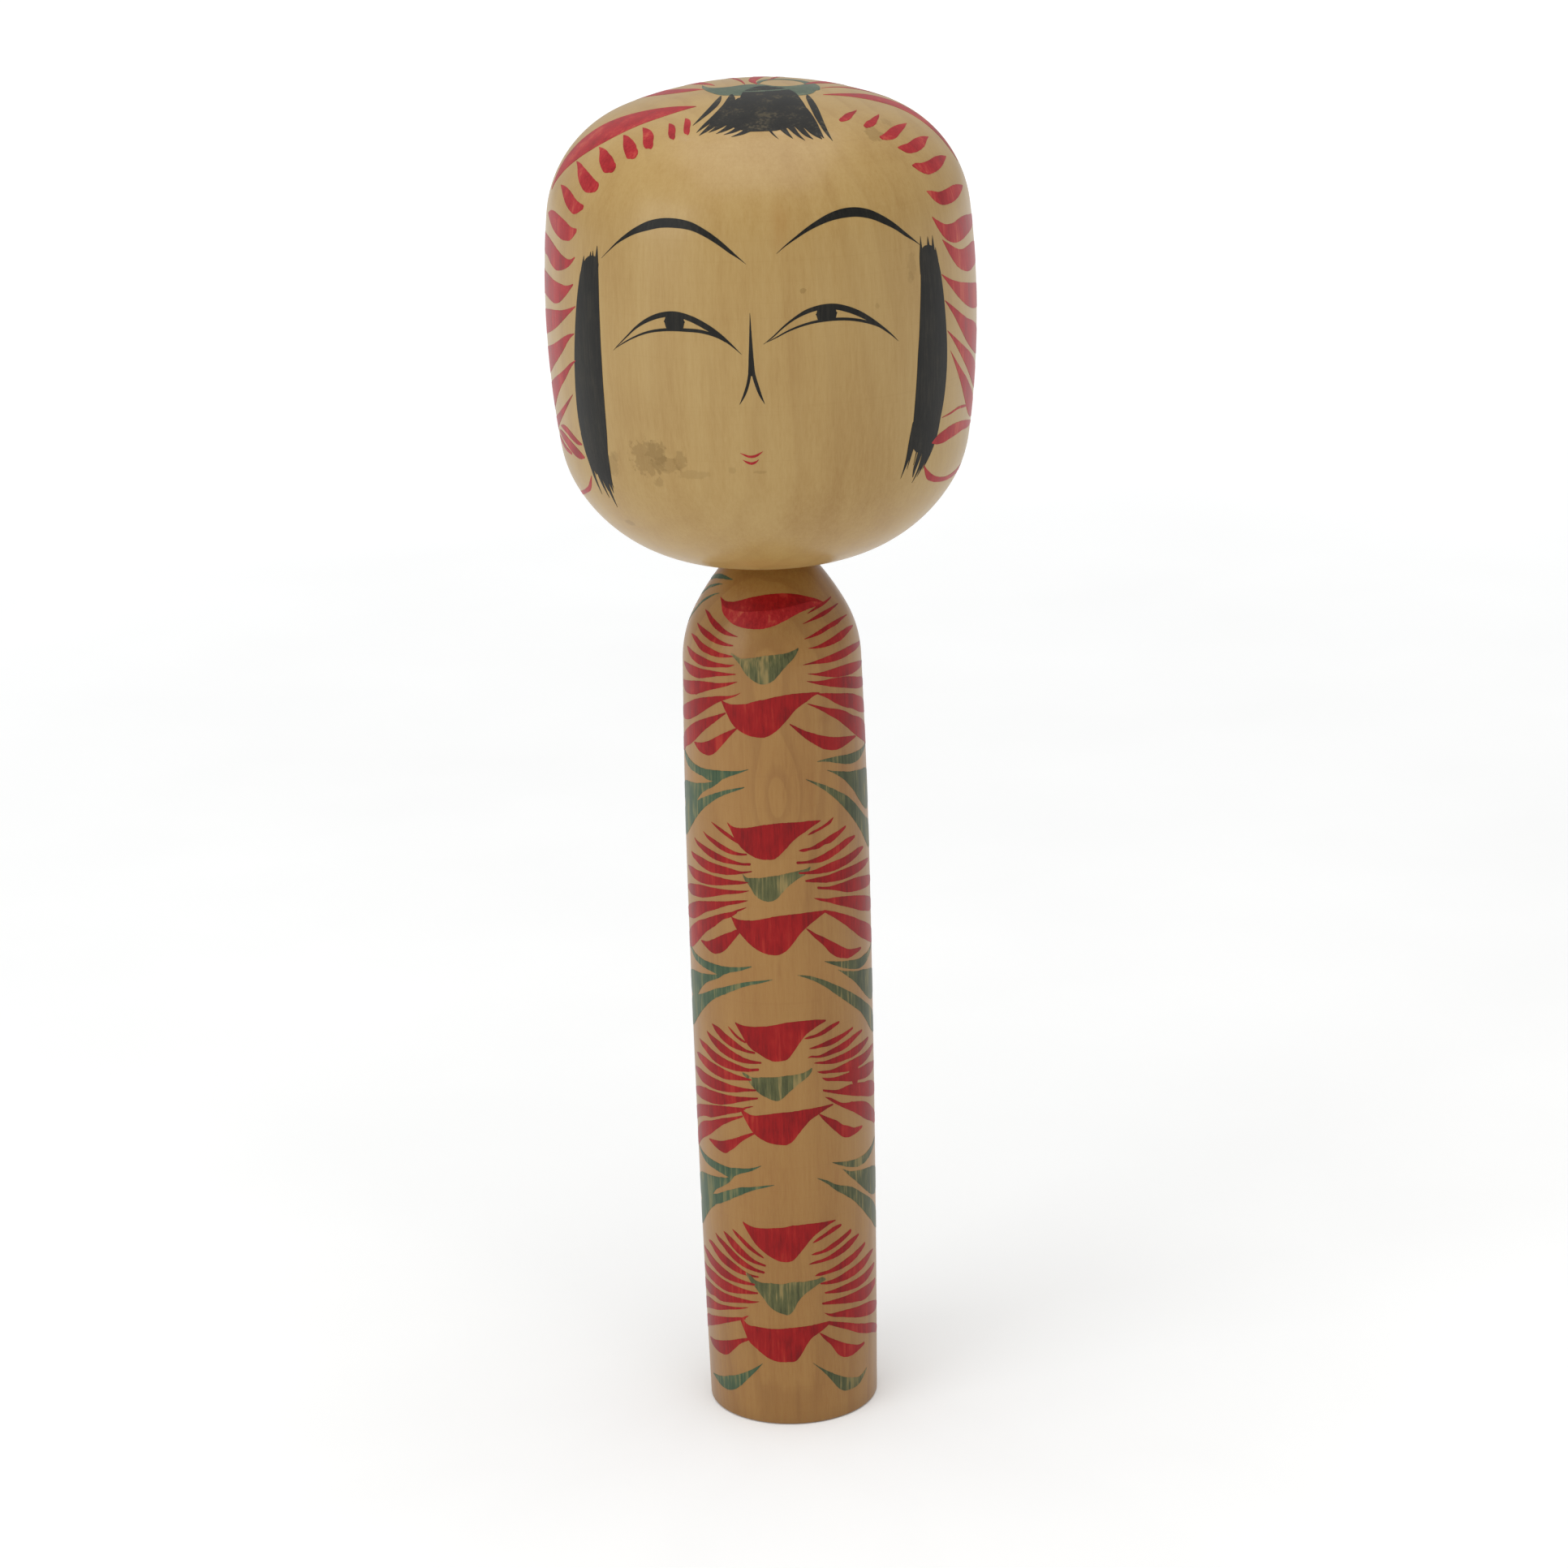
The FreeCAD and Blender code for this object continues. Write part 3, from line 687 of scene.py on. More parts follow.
R.v((64.8, 46.2, 53.3), (66.4, 46.1, 53.9), (68, 46.0, 54.4), (72, 45.6, 55.2), (76, 45.1, 55.8), (80, 44.7, 56.3), (84, 44.2, 56.7), (88, 43.9, 56.8),
    (92, 43.6, 56.5), (96, 43.3, 55.8), (99, 43.1, 54.9), (101.6, 43.0, 53.9))
for st in (((46.9, 67.5, 1.6), (46.8, 64, 1.2), (46.9, 61.6, 0.5), (47.0, 60.0, 0.06)), ((48.3, 67.5, 1.2), (48.3, 65.5, 0.6), (48.4, 63.8, 0.06)),
           ((49.7, 67.5, 2.0), (49.8, 64, 1.4), (49.9, 62, 0.7), (49.9, 60.4, 0.06)), ((51.5, 67.5, 2.0), (51.7, 64, 1.3), (51.9, 62, 0.6), (52.0, 60.4, 0.06)),
           ((52.9, 67.5, 1.6), (53.0, 65, 0.9), (52.9, 63, 0.06)),
           ((43.8, 99, 1.6), (42.9, 103, 1.7), (42.0, 106, 1.1), (41.0, 108.2, 0.5), (40.0, 110.4, 0.06)),
           ((45.0, 99, 1.0), (44.0, 103, 0.7), (42.9, 106, 0.35), (42.0, 108.6, 0.06)),
           ((47.2, 98, 1.8), (46.5, 101.5, 1.2), (45.3, 105, 0.4), (44.4, 108, 0.06)),
           ((48.8, 99, 2.4), (47.8, 103, 1.7), (46.2, 106.6, 1.3), (45.0, 109.2, 0.8), (44.8, 110.8, 0.2)),
           ((50.6, 99, 2.4), (49.8, 103, 2.2), (48.4, 106.4, 1.5), (46.6, 109.6, 0.6), (45.0, 112.2, 0.06)),
           ((52.4, 99, 2.4), (51.5, 103, 2.2), (50.0, 106.0, 1.7), (48.4, 108.4, 0.8), (46.6, 111.0, 0.06)),
           ((53.8, 99, 1.6), (52.7, 103, 1.5), (51.3, 105.8, 1.0), (49.8, 108.0, 0.4), (48.4, 109.6, 0.06))):
    R.sp(*st)
R.done()

# ------------------------------------------------------------------ head: the rows of small strokes
T = Paint("ribbon_strokes_left", HEAD, "head", RED_H, 0.05, 0.35, 1.2)
for st in (((-32.7, 27.2, 27.3), (-31, 27.4, 29.0), (-29, 28.2, 31.3), (-27.3, 29.8, 32.9), (-26.2, 31.4, 33.2)),
           ((-37.8, 29.7, 29.8), (-35.5, 30.0, 31.7), (-33.5, 30.8, 33.6), (-31.8, 32.1, 34.7), (-30.6, 33.6, 34.9)),
           ((-48.2, 32.1, 32.2), (-46, 32.2, 33.4), (-43.5, 32.6, 35.0), (-41, 33.4, 37.0), (-38.8, 34.7, 38.0), (-37.5, 36.2, 37.9)),
           ((-54.0, 35.1, 35.2), (-51.5, 35.2, 36.6), (-48.5, 35.8, 38.5), (-45.5, 36.7, 40.2), (-43.8, 37.4, 41.0), (-42.6, 38.2, 40.9)),
           ((-61.4, 39.3, 39.4), (-59, 39.4, 40.4), (-56, 39.7, 42.4), (-53, 40.5, 43.9), (-50.5, 41.2, 44.8), (-48.4, 42.2, 44.6)),
           ((-69.4, 43.8, 43.9), (-66, 43.9, 45.1), (-63, 44.4, 46.8), (-59, 45.2, 48.6), (-55.5, 46.1, 49.6), (-52.2, 47.0, 49.3)),
           ((-72.9, 49.6, 49.7), (-70, 49.5, 50.7), (-66, 49.8, 52.5), (-62, 50.7, 53.9), (-59, 51.6, 54.5), (-55.6, 52.2, 53.4)),
           ((-80.2, 56.5, 56.6), (-77, 55.6, 57.6), (-73, 55.3, 58.9), (-68, 55.7, 60.0), (-63, 56.5, 60.4), (-60, 57.2, 60.0), (-57.4, 57.3, 58.4)),
           ((-97, 62.9, 63.2), (-92, 61.8, 64.8), (-87, 61.3, 65.3), (-82, 61.1, 65.4), (-78, 61.2, 65.4), (-73, 61.8, 66.6), (-68, 62.8, 67.2), (-64, 63.7, 66.6), (-60, 64.0, 65.3), (-57.4, 63.2, 63.6)),
           ((-104, 71.4, 72.2), (-97, 70.0, 73.8), (-88, 69.3, 74.4), (-80, 69.0, 74.0), (-74, 69.3, 74.3), (-70, 69.6, 74.4), (-66, 69.7, 73.6), (-62, 69.7, 71.7), (-58.2, 68.9, 69.3)),
           ((-108, 83.6, 84.6), (-100, 80.8, 85.2), (-90, 78.4, 83.8), (-80, 76.9, 82.1), (-75, 76.3, 81.0), (-70, 75.8, 79.6), (-65, 75.2, 77.6), (-60, 74.2, 75.2), (-57.0, 73.4, 73.6)),
           ((-110, 93.4, 94.4), (-100, 89.6, 94.4), (-90, 86.7, 92.4), (-80, 84.9, 90.3), (-75, 83.9, 88.4), (-70, 82.6, 86.3), (-65, 81.0, 83.6), (-61, 79.8, 80.9), (-58.2, 79.3, 79.5)),
           ((-110, 102.6, 103.6), (-100, 98.4, 103.2), (-90, 95.0, 100.6), (-80, 92.4, 97.7), (-75, 91.0, 95.2), (-70, 89.5, 92.4), (-65, 87.7, 89.6), (-61, 85.9, 86.8), (-58.3, 85.0, 85.2)),
           ((-105, 107.4, 108.0), (-96, 104.0, 107.2), (-88, 101.8, 104.6), (-80, 100.0, 102.4), (-75, 98.6, 100.4), (-70, 96.7, 98.1), (-66, 94.9, 95.8), (-61.8, 92.8, 93.0))):
    T.h(*st)
T.done()
T = Paint("ribbon_ties_left", HEAD, "head", RED_H, 0.05, 0.35, 1.2)
T.h((-76, 101.6, 101.8), (-73, 101.0, 102.1), (-70, 100.9, 102.5), (-66, 101.7, 103.4), (-62.5, 102.8, 103.9), (-60.3, 103.3, 103.7))
T.h((-80, 103.1, 103.6), (-77, 102.8, 104.4), (-73, 102.9, 105.1), (-69, 103.6, 106.2), (-65, 104.5, 107.0), (-62, 105.3, 107.0), (-60.1, 106.0, 106.6))
T.h((-84, 105.0, 105.4), (-79, 104.9, 106.2), (-74, 105.8, 106.9), (-69, 106.5, 107.1))
T.h((-102, 121.7, 121.9), (-95, 120.4, 121.3), (-88, 119.2, 120.1), (-80, 117.7, 118.6), (-72, 116.0, 117.0), (-66, 114.5, 115.5), (-62, 113.0, 114.2), (-59.6, 111.4, 112.5), (-58.0, 110.2, 110.5))
T.done()
T = Paint("ribbon_strokes_right", HEAD, "head", RED_H, 0.05, 0.35, 1.2)
for st in (((36.4, 29.8, 31.0), (38.5, 29.2, 30.9), (41.5, 28.4, 30.3), (45, 27.9, 29.2), (48.5, 27.7, 28.3), (51.0, 27.5, 27.6)),
           ((44.2, 33.0, 34.2), (46.5, 32.3, 34.1), (49.5, 31.9, 33.6), (53, 31.3, 32.5), (56, 31.0, 31.7), (58.4, 30.8, 30.9)),
           ((46.4, 37.0, 38.2), (48.5, 36.7, 38.5), (52, 36.0, 38.4), (56, 35.4, 37.6), (60, 35.2, 36.8), (63.5, 35.3, 36.2), (66.8, 35.5, 35.6)),
           ((50.2, 40.6, 41.2), (52, 40.4, 42.3), (55.5, 40.3, 42.7), (60, 39.8, 42.5), (64, 39.6, 41.9), (68, 39.8, 41.0), (71.6, 40.4, 40.5)),
           ((51.6, 45.2, 45.8), (53.2, 45.0, 46.9), (56, 45.3, 47.9), (60, 45.2, 48.0), (65, 44.9, 47.5), (69.5, 45.1, 46.7), (73.8, 45.8, 45.9)),
           ((53.0, 51.2, 51.5), (54.8, 51.4, 53.2), (58, 52.0, 54.7), (63, 52.0, 55.1), (68, 51.8, 54.8), (73, 52.2, 54.0), (77.2, 52.9, 53.1)),
           ((52.8, 56.6, 56.8), (55, 57.6, 59.4), (58.5, 58.8, 62.0), (63, 59.2, 63.3), (68, 58.8, 63.4), (73, 58.8, 63.0), (79, 59.4, 62.6), (85, 60.0, 62.2), (91, 60.8, 61.6)),
           ((56.6, 61.8, 62.0), (60, 63.2, 65.6), (64, 64.6, 68.4), (68, 65.3, 69.8), (73, 65.3, 70.6), (79, 65.2, 70.4), (86, 66.0, 70.4), (94, 67.4, 70.2), (100, 68.8, 69.4)),
           ((55.0, 68.8, 69.0), (59, 70.3, 71.9), (64, 71.6, 75.0), (69, 72.5, 77.2), (75, 73.4, 78.8), (81, 74.2, 79.6), (88, 75.6, 80.2), (96, 77.8, 80.8), (103, 80.0, 80.8)),
           ((56.0, 74.4, 74.6), (60, 76.2, 77.8), (65, 78.4, 82.0), (70, 80.2, 85.4), (75, 81.4, 87.6), (80, 82.8, 89.2), (88, 85.6, 90.6), (96, 88.6, 91.6), (103, 91.2, 92.0)),
           ((57.0, 80.9, 81.1), (61, 82.9, 84.2), (66, 85.2, 88.0), (71, 87.2, 91.4), (76, 89.2, 94.4), (80, 90.8, 96.2), (88, 94.4, 98.2), (96, 98.0, 100.4), (102, 100.8, 101.4)),
           ((58.6, 85.4, 85.5), (62, 88.0, 89.4), (66, 90.6, 93.6), (70, 92.8, 97.6), (74, 95.0, 100.8), (78, 96.9, 102.6), (85, 100.0, 103.8), (92, 103.2, 105.2), (97, 105.2, 105.8))):
    T.h(*st)
T.done()
T = Paint("ribbon_ties_right", HEAD, "head", RED_H, 0.05, 0.35, 1.2)
T.h((55.6, 99.3, 99.4), (60, 98.9, 99.3), (65, 98.5, 99.0), (69, 98.7, 99.3), (73.5, 99.4, 99.7), ragged=0)
T.h((51.8, 104.0, 104.4), (54, 103.0, 104.9), (57, 102.4, 105.1), (61, 101.9, 104.8), (65, 101.9, 104.6), (70, 102.3, 104.4), (75, 103.0, 104.8), (80, 103.8, 105.0), (86, 104.8, 105.2))
T.h((48.8, 108.6, 108.8), (51.5, 110.4, 112.2), (55, 112.0, 113.5), (59, 113.1, 114.3), (64, 113.8, 114.9), (70, 113.9, 115.2), (76, 113.7, 115.2), (83, 113.8, 114.8), (90, 114.4, 114.8))
T.done()

# ------------------------------------------------------------------ face
F = Paint("brow_left", HEAD, "head", BLACK, 0.0, 0.25, 0.7)
F.h((-45.6, 62.3, 62.36), (-43, 60.5, 60.75), (-40.2, 58.6, 59.1), (-37.5, 57.0, 57.9), (-34.6, 55.5, 56.8), (-30.5, 53.9, 55.8), (-26.5, 53.15, 55.1), (-22, 53.1, 55.0),
    (-18, 53.7, 55.4), (-14.5, 55.0, 56.5), (-11, 56.8, 58.1), (-7.6, 59.1, 60.0), (-5.2, 60.9, 61.2), (-3.6, 62.1, 62.16))
F.done()
F = Paint("brow_right", HEAD, "head", BLACK, 0.0, 0.25, 0.7)
F.h((4.3, 60.2, 60.26), (6.8, 58.5, 58.8), (9.7, 56.8, 57.4), (12.5, 55.3, 56.2), (15.2, 54.1, 55.3), (19, 52.8, 54.4), (23, 52.1, 54.0), (27, 52.15, 54.1), (31, 53.0, 54.9),
    (34.6, 54.5, 56.2), (38, 56.3, 57.6), (41.5, 58.5, 59.4), (44.4, 60.3, 60.7), (46.8, 61.8, 61.86))
F.done()
F = Paint("eye_left", HEAD, "head", BLACK, 0.0, 0.25, 0.7)
F.h((-41.8, 81.1, 81.16), (-39.5, 79.4, 79.65), (-36.7, 77.4, 77.8), (-34.2, 75.6, 76.2), (-31.2, 73.9, 74.8), (-27, 72.4, 73.5), (-22.8, 71.9, 73.0), (-18.4, 72.6, 73.9),
    (-14.6, 74.0, 75.4), (-11.4, 75.7, 76.9), (-8.6, 77.7, 78.4), (-6.6, 79.4, 79.7), (-5.4, 80.5, 80.56))
F.h((-41.0, 80.6, 80.65), (-38.5, 79.3, 79.55), (-35.3, 77.9, 78.25), (-30.5, 76.3, 76.8), (-25.5, 75.5, 76.1), (-20, 75.3, 76.0), (-15, 75.6, 76.3), (-11.6, 76.5, 77.1), (-9.4, 77.5, 78.0))
F.h((-25.5, 73.9, 74.2), (-25.0, 72.8, 75.5), (-24.0, 72.5, 75.7), (-22.7, 72.3, 75.7), (-21.3, 72.5, 75.7), (-20.4, 72.9, 75.5), (-20.0, 73.9, 74.2))
F.done()
F = Paint("eye_right", HEAD, "head", BLACK, 0.0, 0.25, 0.7)
F.h((0.3, 78.5, 78.56), (2.6, 77.0, 77.3), (5.5, 74.9, 75.35), (8.2, 73.3, 73.9), (11, 72.0, 72.9), (14.5, 71.2, 72.2), (18.7, 71.1, 72.3), (22.5, 71.9, 73.2),
    (26, 73.2, 74.5), (29.4, 75.0, 76.1), (32.6, 77.0, 77.7), (35.2, 78.8, 79.2), (37.3, 80.5, 80.56))
F.h((1.2, 78.1, 78.15), (3.6, 77.1, 77.35), (6.2, 76.0, 76.35), (11.8, 74.5, 75.0), (17.3, 74.0, 74.6), (22.8, 74.3, 74.9), (27.0, 75.1, 75.7), (30.4, 76.2, 76.7), (32.4, 77.1, 77.5))
F.h((14.0, 72.9, 73.2), (14.4, 71.9, 74.3), (15.3, 71.6, 74.4), (16.7, 71.5, 74.4), (18.1, 71.7, 74.4), (19.0, 72.0, 74.4), (19.4, 72.9, 73.2))
F.done()
F = Paint("nose", HEAD, "head", BLACK, 0.0, 0.25, 0.5)
F.v((72.1, -2.98, -2.9), (74, -3.08, -2.78), (76.5, -3.25, -2.65), (79, -3.42, -2.5), (81.5, -3.62, -2.34), (83.4, -3.75, -2.2), (84.4, -3.85, -2.1))
F.sp((-3.3, 83.2, 0.55), (-3.55, 85, 0.62), (-4.1, 87, 0.6), (-5.0, 89, 0.5), (-6.3, 91.0, 0.05))
F.sp((-2.65, 83.2, 0.55), (-2.4, 85, 0.72), (-1.75, 87, 0.72), (-0.95, 89, 0.55), (0.15, 91.0, 0.05))
F.done()
F = Paint("mouth", HEAD, "head", RED_H, 0.0, 0.2, 0.5)
F.h((-6.7, 101.35, 101.4), (-5.4, 101.7, 102.1), (-4.2, 101.95, 102.45), (-3.0, 101.85, 102.4), (-1.9, 101.5, 102.0), (-0.8, 101.1, 101.2))
F.h((-6.1, 102.85, 102.9), (-4.9, 103.2, 103.7), (-3.8, 103.4, 103.95), (-2.8, 103.2, 103.7), (-1.9, 102.8, 102.95))
F.done()

# ------------------------------------------------------------------ body: four flowers
# painted shade: an olive copy of the leaf dye for the leaves on the doll's right, the side turned from the cool left
# light; its drier streaks are the dye's own
GREEN_DRY_SHADED_SIDE = dye("dye_green_leaf_dry_shaded_side", 11.7, (0.042, 0.058, 0.030), (0.078, 0.096, 0.050), (0.125, 0.140, 0.072), (0.26, 0.22, 0.10), 0.40, 0.9)
FLOWERS = {
    1: dict(
        upper=[(-50, 10.1, 10.3), (-46, 10.5, 11.5), (-42, 10.8, 13.2), (-35, 10.7, 14.7), (-28, 10.2, 15.7), (-20, 9.5, 16.2), (-10, 8.9, 16.4), (0, 8.55, 15.9), (10, 8.5, 14.8), (20, 8.8, 13.6), (30, 9.5, 12.9), (38, 10.3, 12.6), (44, 11.0, 12.5), (47, 11.6, 12.3), (50, 12.0, 12.2)],
        heart=[(-27, 21.9, 22.3), (-24, 22.4, 23.2), (-21, 22.8, 24.2), (-18, 22.8, 25.8), (-14, 22.7, 27.2), (-9, 22.4, 28.2), (-4, 22.1, 28.3), (0, 22.0, 27.7), (4, 21.9, 26.3), (8, 21.8, 24.8), (12, 21.6, 23.6), (15, 21.2, 22.6), (17.2, 20.9, 21.5)],
        lower=[(-34, 32.6, 33.3), (-31, 33.0, 35.3), (-27, 33.2, 37.6), (-23, 33.1, 38.8), (-18, 32.9, 39.7), (-12, 32.2, 40.2), (-6, 31.8, 40.2), (0, 31.3, 39.2), (4, 31.1, 38.0), (8, 30.9, 36.6), (12, 30.8, 35.0), (17, 30.8, 33.6), (22, 30.9, 32.7), (26, 31.0, 31.9), (30, 31.2, 31.5)],
        left=[[(-63, 13.8, 13.9), (-57, 14.0, 14.9), (-50, 14.9, 16.2), (-42, 15.9, 17.4), (-34, 17.1, 18.1), (-24, 18.2, 18.3)],
              [(-66, 17.2, 17.4), (-58, 17.6, 18.7), (-50, 18.1, 19.6), (-42, 18.9, 20.2), (-34, 19.7, 20.5), (-27, 20.1, 20.4)],
              [(-70, 19.9, 20.1), (-62, 20.0, 21.2), (-54, 20.8, 22.4), (-46, 21.4, 22.9), (-38, 22.0, 23.1), (-30, 22.3, 22.9), (-25, 22.5, 22.6)],
              [(-73, 23.0, 23.3), (-66, 23.2, 24.7), (-58, 23.6, 25.5), (-50, 23.9, 25.8), (-42, 24.3, 25.6), (-34, 24.4, 25.2), (-28, 24.4, 24.9), (-25, 24.3, 24.4)],
              [(-77, 26.8, 27.6), (-70, 26.6, 28.5), (-62, 26.5, 28.9), (-54, 26.5, 28.8), (-46, 26.4, 28.1), (-38, 26.3, 27.4), (-30, 26.3, 26.9), (-24, 26.3, 26.5)],
              [(-82, 31.4, 32.6), (-76, 31.0, 33.4), (-68, 30.4, 33.4), (-60, 29.8, 32.9), (-52, 29.3, 31.9), (-44, 29.0, 30.8), (-36, 28.8, 29.9), (-28, 28.3, 28.9), (-23, 28.0, 28.1)],
              [(-92, 39.0, 39.8), (-84, 37.6, 40.0), (-76, 36.4, 39.9), (-68, 35.2, 39.2), (-60, 34.0, 38.0), (-52, 33.0, 36.4), (-44, 32.3, 34.6), (-36, 31.7, 33.0), (-30, 31.4, 32.1), (-24, 30.9, 31.2), (-21, 30.4, 30.5)],
              [(-98, 47.6, 48.0), (-90, 45.8, 48.2), (-82, 43.8, 47.6), (-76, 42.4, 46.2), (-68, 40.8, 45.0), (-60, 39.2, 43.2), (-52, 37.9, 40.9), (-44, 36.8, 38.8), (-38, 36.0, 37.2), (-32, 35.2, 35.6)],
              [(-61, 43.7, 44.0), (-56, 43.5, 45.2), (-50, 42.9, 45.7), (-45, 42.2, 45.6), (-40, 41.2, 44.6), (-35, 40.2, 42.8), (-30, 39.3, 40.9), (-24, 38.3, 38.7)]],
        right=[[(30, 13.7, 13.8), (38, 12.8, 13.3), (46, 12.2, 12.9), (54, 11.9, 12.4), (63, 11.6, 11.8)],
               [(24, 15.8, 15.9), (32, 15.0, 15.5), (40, 14.3, 15.2), (48, 13.9, 14.8), (56, 13.7, 14.3), (68, 13.6, 13.8)],
               [(23, 19.1, 19.2), (30, 18.4, 19.0), (38, 17.6, 18.6), (46, 17.0, 18.0), (54, 16.7, 17.7), (62, 16.6, 17.2), (73, 16.8, 17.0)],
               [(25, 21.2, 21.3), (32, 21.0, 21.6), (40, 20.4, 21.6), (48, 19.8, 21.4), (56, 19.4, 21.0), (64, 19.2, 20.4), (76, 19.6, 19.9)],
               [(20, 24.6, 24.7), (28, 24.2, 24.8), (36, 23.8, 25.1), (44, 23.5, 25.2), (52, 23.3, 25.1), (60, 23.2, 24.9), (68, 23.3, 24.8), (76, 23.6, 24.7), (84, 24.0, 24.6)],
               [(23, 26.7, 26.8), (30, 26.9, 27.5), (38, 26.8, 28.3), (46, 26.7, 28.9), (54, 26.7, 29.2), (62, 27.0, 29.4), (70, 27.4, 29.4), (78, 28.0, 29.4), (88, 28.8, 29.2)],
               [(22, 28.3, 28.4), (30, 28.7, 29.5), (38, 28.8, 30.4), (46, 29.0, 31.2), (54, 29.4, 32.0), (62, 30.1, 32.8), (70, 30.9, 33.5), (78, 31.6, 34.0), (88, 33.0, 34.4)],
               [(29, 31.4, 31.6), (36, 31.8, 32.9), (44, 32.4, 34.8), (52, 33.0, 36.2), (60, 33.8, 37.2), (68, 34.9, 38.6), (78, 36.4, 39.8), (88, 38.4, 40.6), (94, 39.6, 40.4)],
               [(22, 33.3, 33.5), (30, 34.3, 35.1), (38, 35.3, 37.0), (44, 35.9, 38.4), (52, 37.1, 40.6), (60, 38.7, 42.8), (68, 39.8, 44.6), (78, 41.6, 46.4), (88, 43.8, 48.0), (96, 46.0, 48.0)],
               [(10, 37.4, 37.7), (15, 38.4, 39.5), (20, 39.4, 41.2), (26, 40.3, 42.8), (31, 41.0, 43.9), (37, 41.7, 44.7), (43, 42.2, 45.0), (49, 42.6, 44.7), (55, 43.0, 44.3), (62, 43.5, 43.9)]]),
    2: dict(
        upper=[(-32, 60.2, 60.6), (-30, 60.7, 61.8), (-27.5, 61.0, 63.6), (-24, 61.05, 65.2), (-20, 60.9, 66.5), (-14, 60.5, 67.6), (-7, 60.0, 68.0), (-2, 59.8, 67.8), (1, 59.7, 67.0), (5, 59.7, 65.6), (10, 59.7, 63.8), (16, 59.75, 62.4), (21, 59.8, 61.4), (27.5, 60.0, 60.3)],
        heart=[(-22.5, 71.6, 71.9), (-21.5, 72.0, 72.9), (-19.5, 72.4, 73.7), (-17.5, 72.3, 74.7), (-15.5, 72.3, 76.0), (-12, 72.2, 77.1), (-8, 72.0, 77.6), (-4, 71.8, 77.5), (-1, 71.65, 76.8), (2, 71.5, 75.6), (6, 71.2, 74.2), (10, 71.0, 73.1), (14, 70.8, 72.3), (17.5, 70.6, 71.7), (19.5, 70.3, 70.9)],
        lower=[(-31, 81.9, 82.5), (-28, 82.2, 84.6), (-24, 82.3, 86.2), (-18, 82.2, 88.2), (-13, 81.9, 89.3), (-7, 81.4, 90.0), (-1, 81.0, 90.0), (4, 80.85, 89.0), (8, 80.8, 87.4), (12, 80.75, 85.6), (17, 80.7, 84.0), (23, 80.75, 82.6), (30, 80.9, 81.2)],
        left=[[(-45, 60.8, 60.9), (-43, 61.0, 61.4), (-37, 61.8, 62.7), (-31, 62.8, 63.8), (-26, 63.8, 64.6)],
              [(-53, 63.6, 63.7), (-51, 63.9, 64.4), (-43, 64.7, 65.9), (-35, 65.7, 67.0), (-26, 66.7, 67.4), (-20, 66.8, 67.2)],
              [(-64, 66.0, 66.2), (-62, 66.3, 66.9), (-55, 66.7, 68.0), (-49, 67.1, 68.8), (-39, 67.9, 69.5), (-30, 68.6, 69.6), (-24, 69.0, 69.6), (-18, 68.9, 69.5)],
              [(-70, 69.8, 70.0), (-68, 69.8, 70.7), (-63, 69.8, 71.2), (-58, 69.8, 71.8), (-47, 70.2, 72.5), (-39, 70.4, 72.4), (-32, 70.6, 72.2), (-24, 71.0, 71.6), (-17, 70.7, 71.0)],
              [(-78, 73.9, 74.4), (-75, 73.7, 74.9), (-70, 73.4, 75.5), (-64, 73.4, 75.8), (-54, 73.2, 75.8), (-43, 73.2, 75.3), (-32, 73.3, 74.5), (-22, 73.3, 73.8), (-19, 73.4, 73.5)],
              [(-82, 79.0, 79.6), (-77, 78.2, 80.0), (-72, 77.6, 80.1), (-65, 77.0, 79.8), (-59, 76.5, 79.5), (-48, 76.1, 78.4), (-36, 75.8, 77.0), (-22, 75.4, 75.8), (-19, 75.3, 75.4)],
              [(-88, 85.0, 86.6), (-82, 83.8, 86.6), (-76, 82.8, 86.1), (-70, 81.8, 85.6), (-63, 80.8, 84.5), (-54, 79.9, 82.6), (-44, 79.1, 81.0), (-34, 78.4, 79.4), (-24, 77.7, 78.3), (-20, 77.6, 77.7)],
              [(-94, 92.4, 94.0), (-88, 91.0, 94.2), (-82, 89.6, 93.8), (-76, 88.2, 93.0), (-69, 86.7, 91.6), (-62, 85.2, 89.7), (-54, 84.0, 87.2), (-45, 82.5, 85.0), (-38, 81.5, 83.0), (-31, 80.7, 81.8), (-28, 80.4, 81.0)],
              [(-31, 80.7, 81.3), (-27, 80.0, 80.5), (-24, 79.6, 80.0), (-21, 79.2, 79.3)],
              [(-59, 89.5, 90.0), (-53, 89.2, 90.9), (-48, 88.4, 91.5), (-42, 87.2, 91.1), (-37, 86.2, 90.0), (-32, 85.4, 88.0), (-28, 84.7, 86.3), (-26, 84.6, 85.4)]],
        right=[[(19, 62.9, 63.0), (21, 62.4, 62.9), (26, 61.8, 62.4), (31, 61.1, 61.8), (36, 60.2, 60.9), (37.5, 60.0, 60.1)],
               [(13, 66.2, 66.3), (15, 66.0, 66.6), (21, 65.8, 66.4), (26, 65.1, 66.4), (30, 64.6, 65.8), (34, 64.0, 65.7), (41, 63.4, 64.6), (47, 62.8, 63.4)],
               [(12, 68.7, 69.3), (18, 68.8, 69.4), (28, 68.0, 69.6), (38, 66.9, 68.7), (49, 65.8, 67.3), (56, 65.8, 66.5)],
               [(13, 71.2, 71.6), (21, 71.2, 72.0), (28, 70.7, 72.2), (35, 70.2, 72.3), (44, 69.9, 71.9), (53, 69.5, 71.4), (60, 69.2, 70.8), (67, 69.5, 70.1)],
               [(17, 73.2, 73.6), (24, 73.0, 74.1), (32, 72.9, 74.6), (43, 72.6, 74.9), (55, 72.6, 74.8), (66, 72.8, 74.6), (77, 73.4, 74.2)],
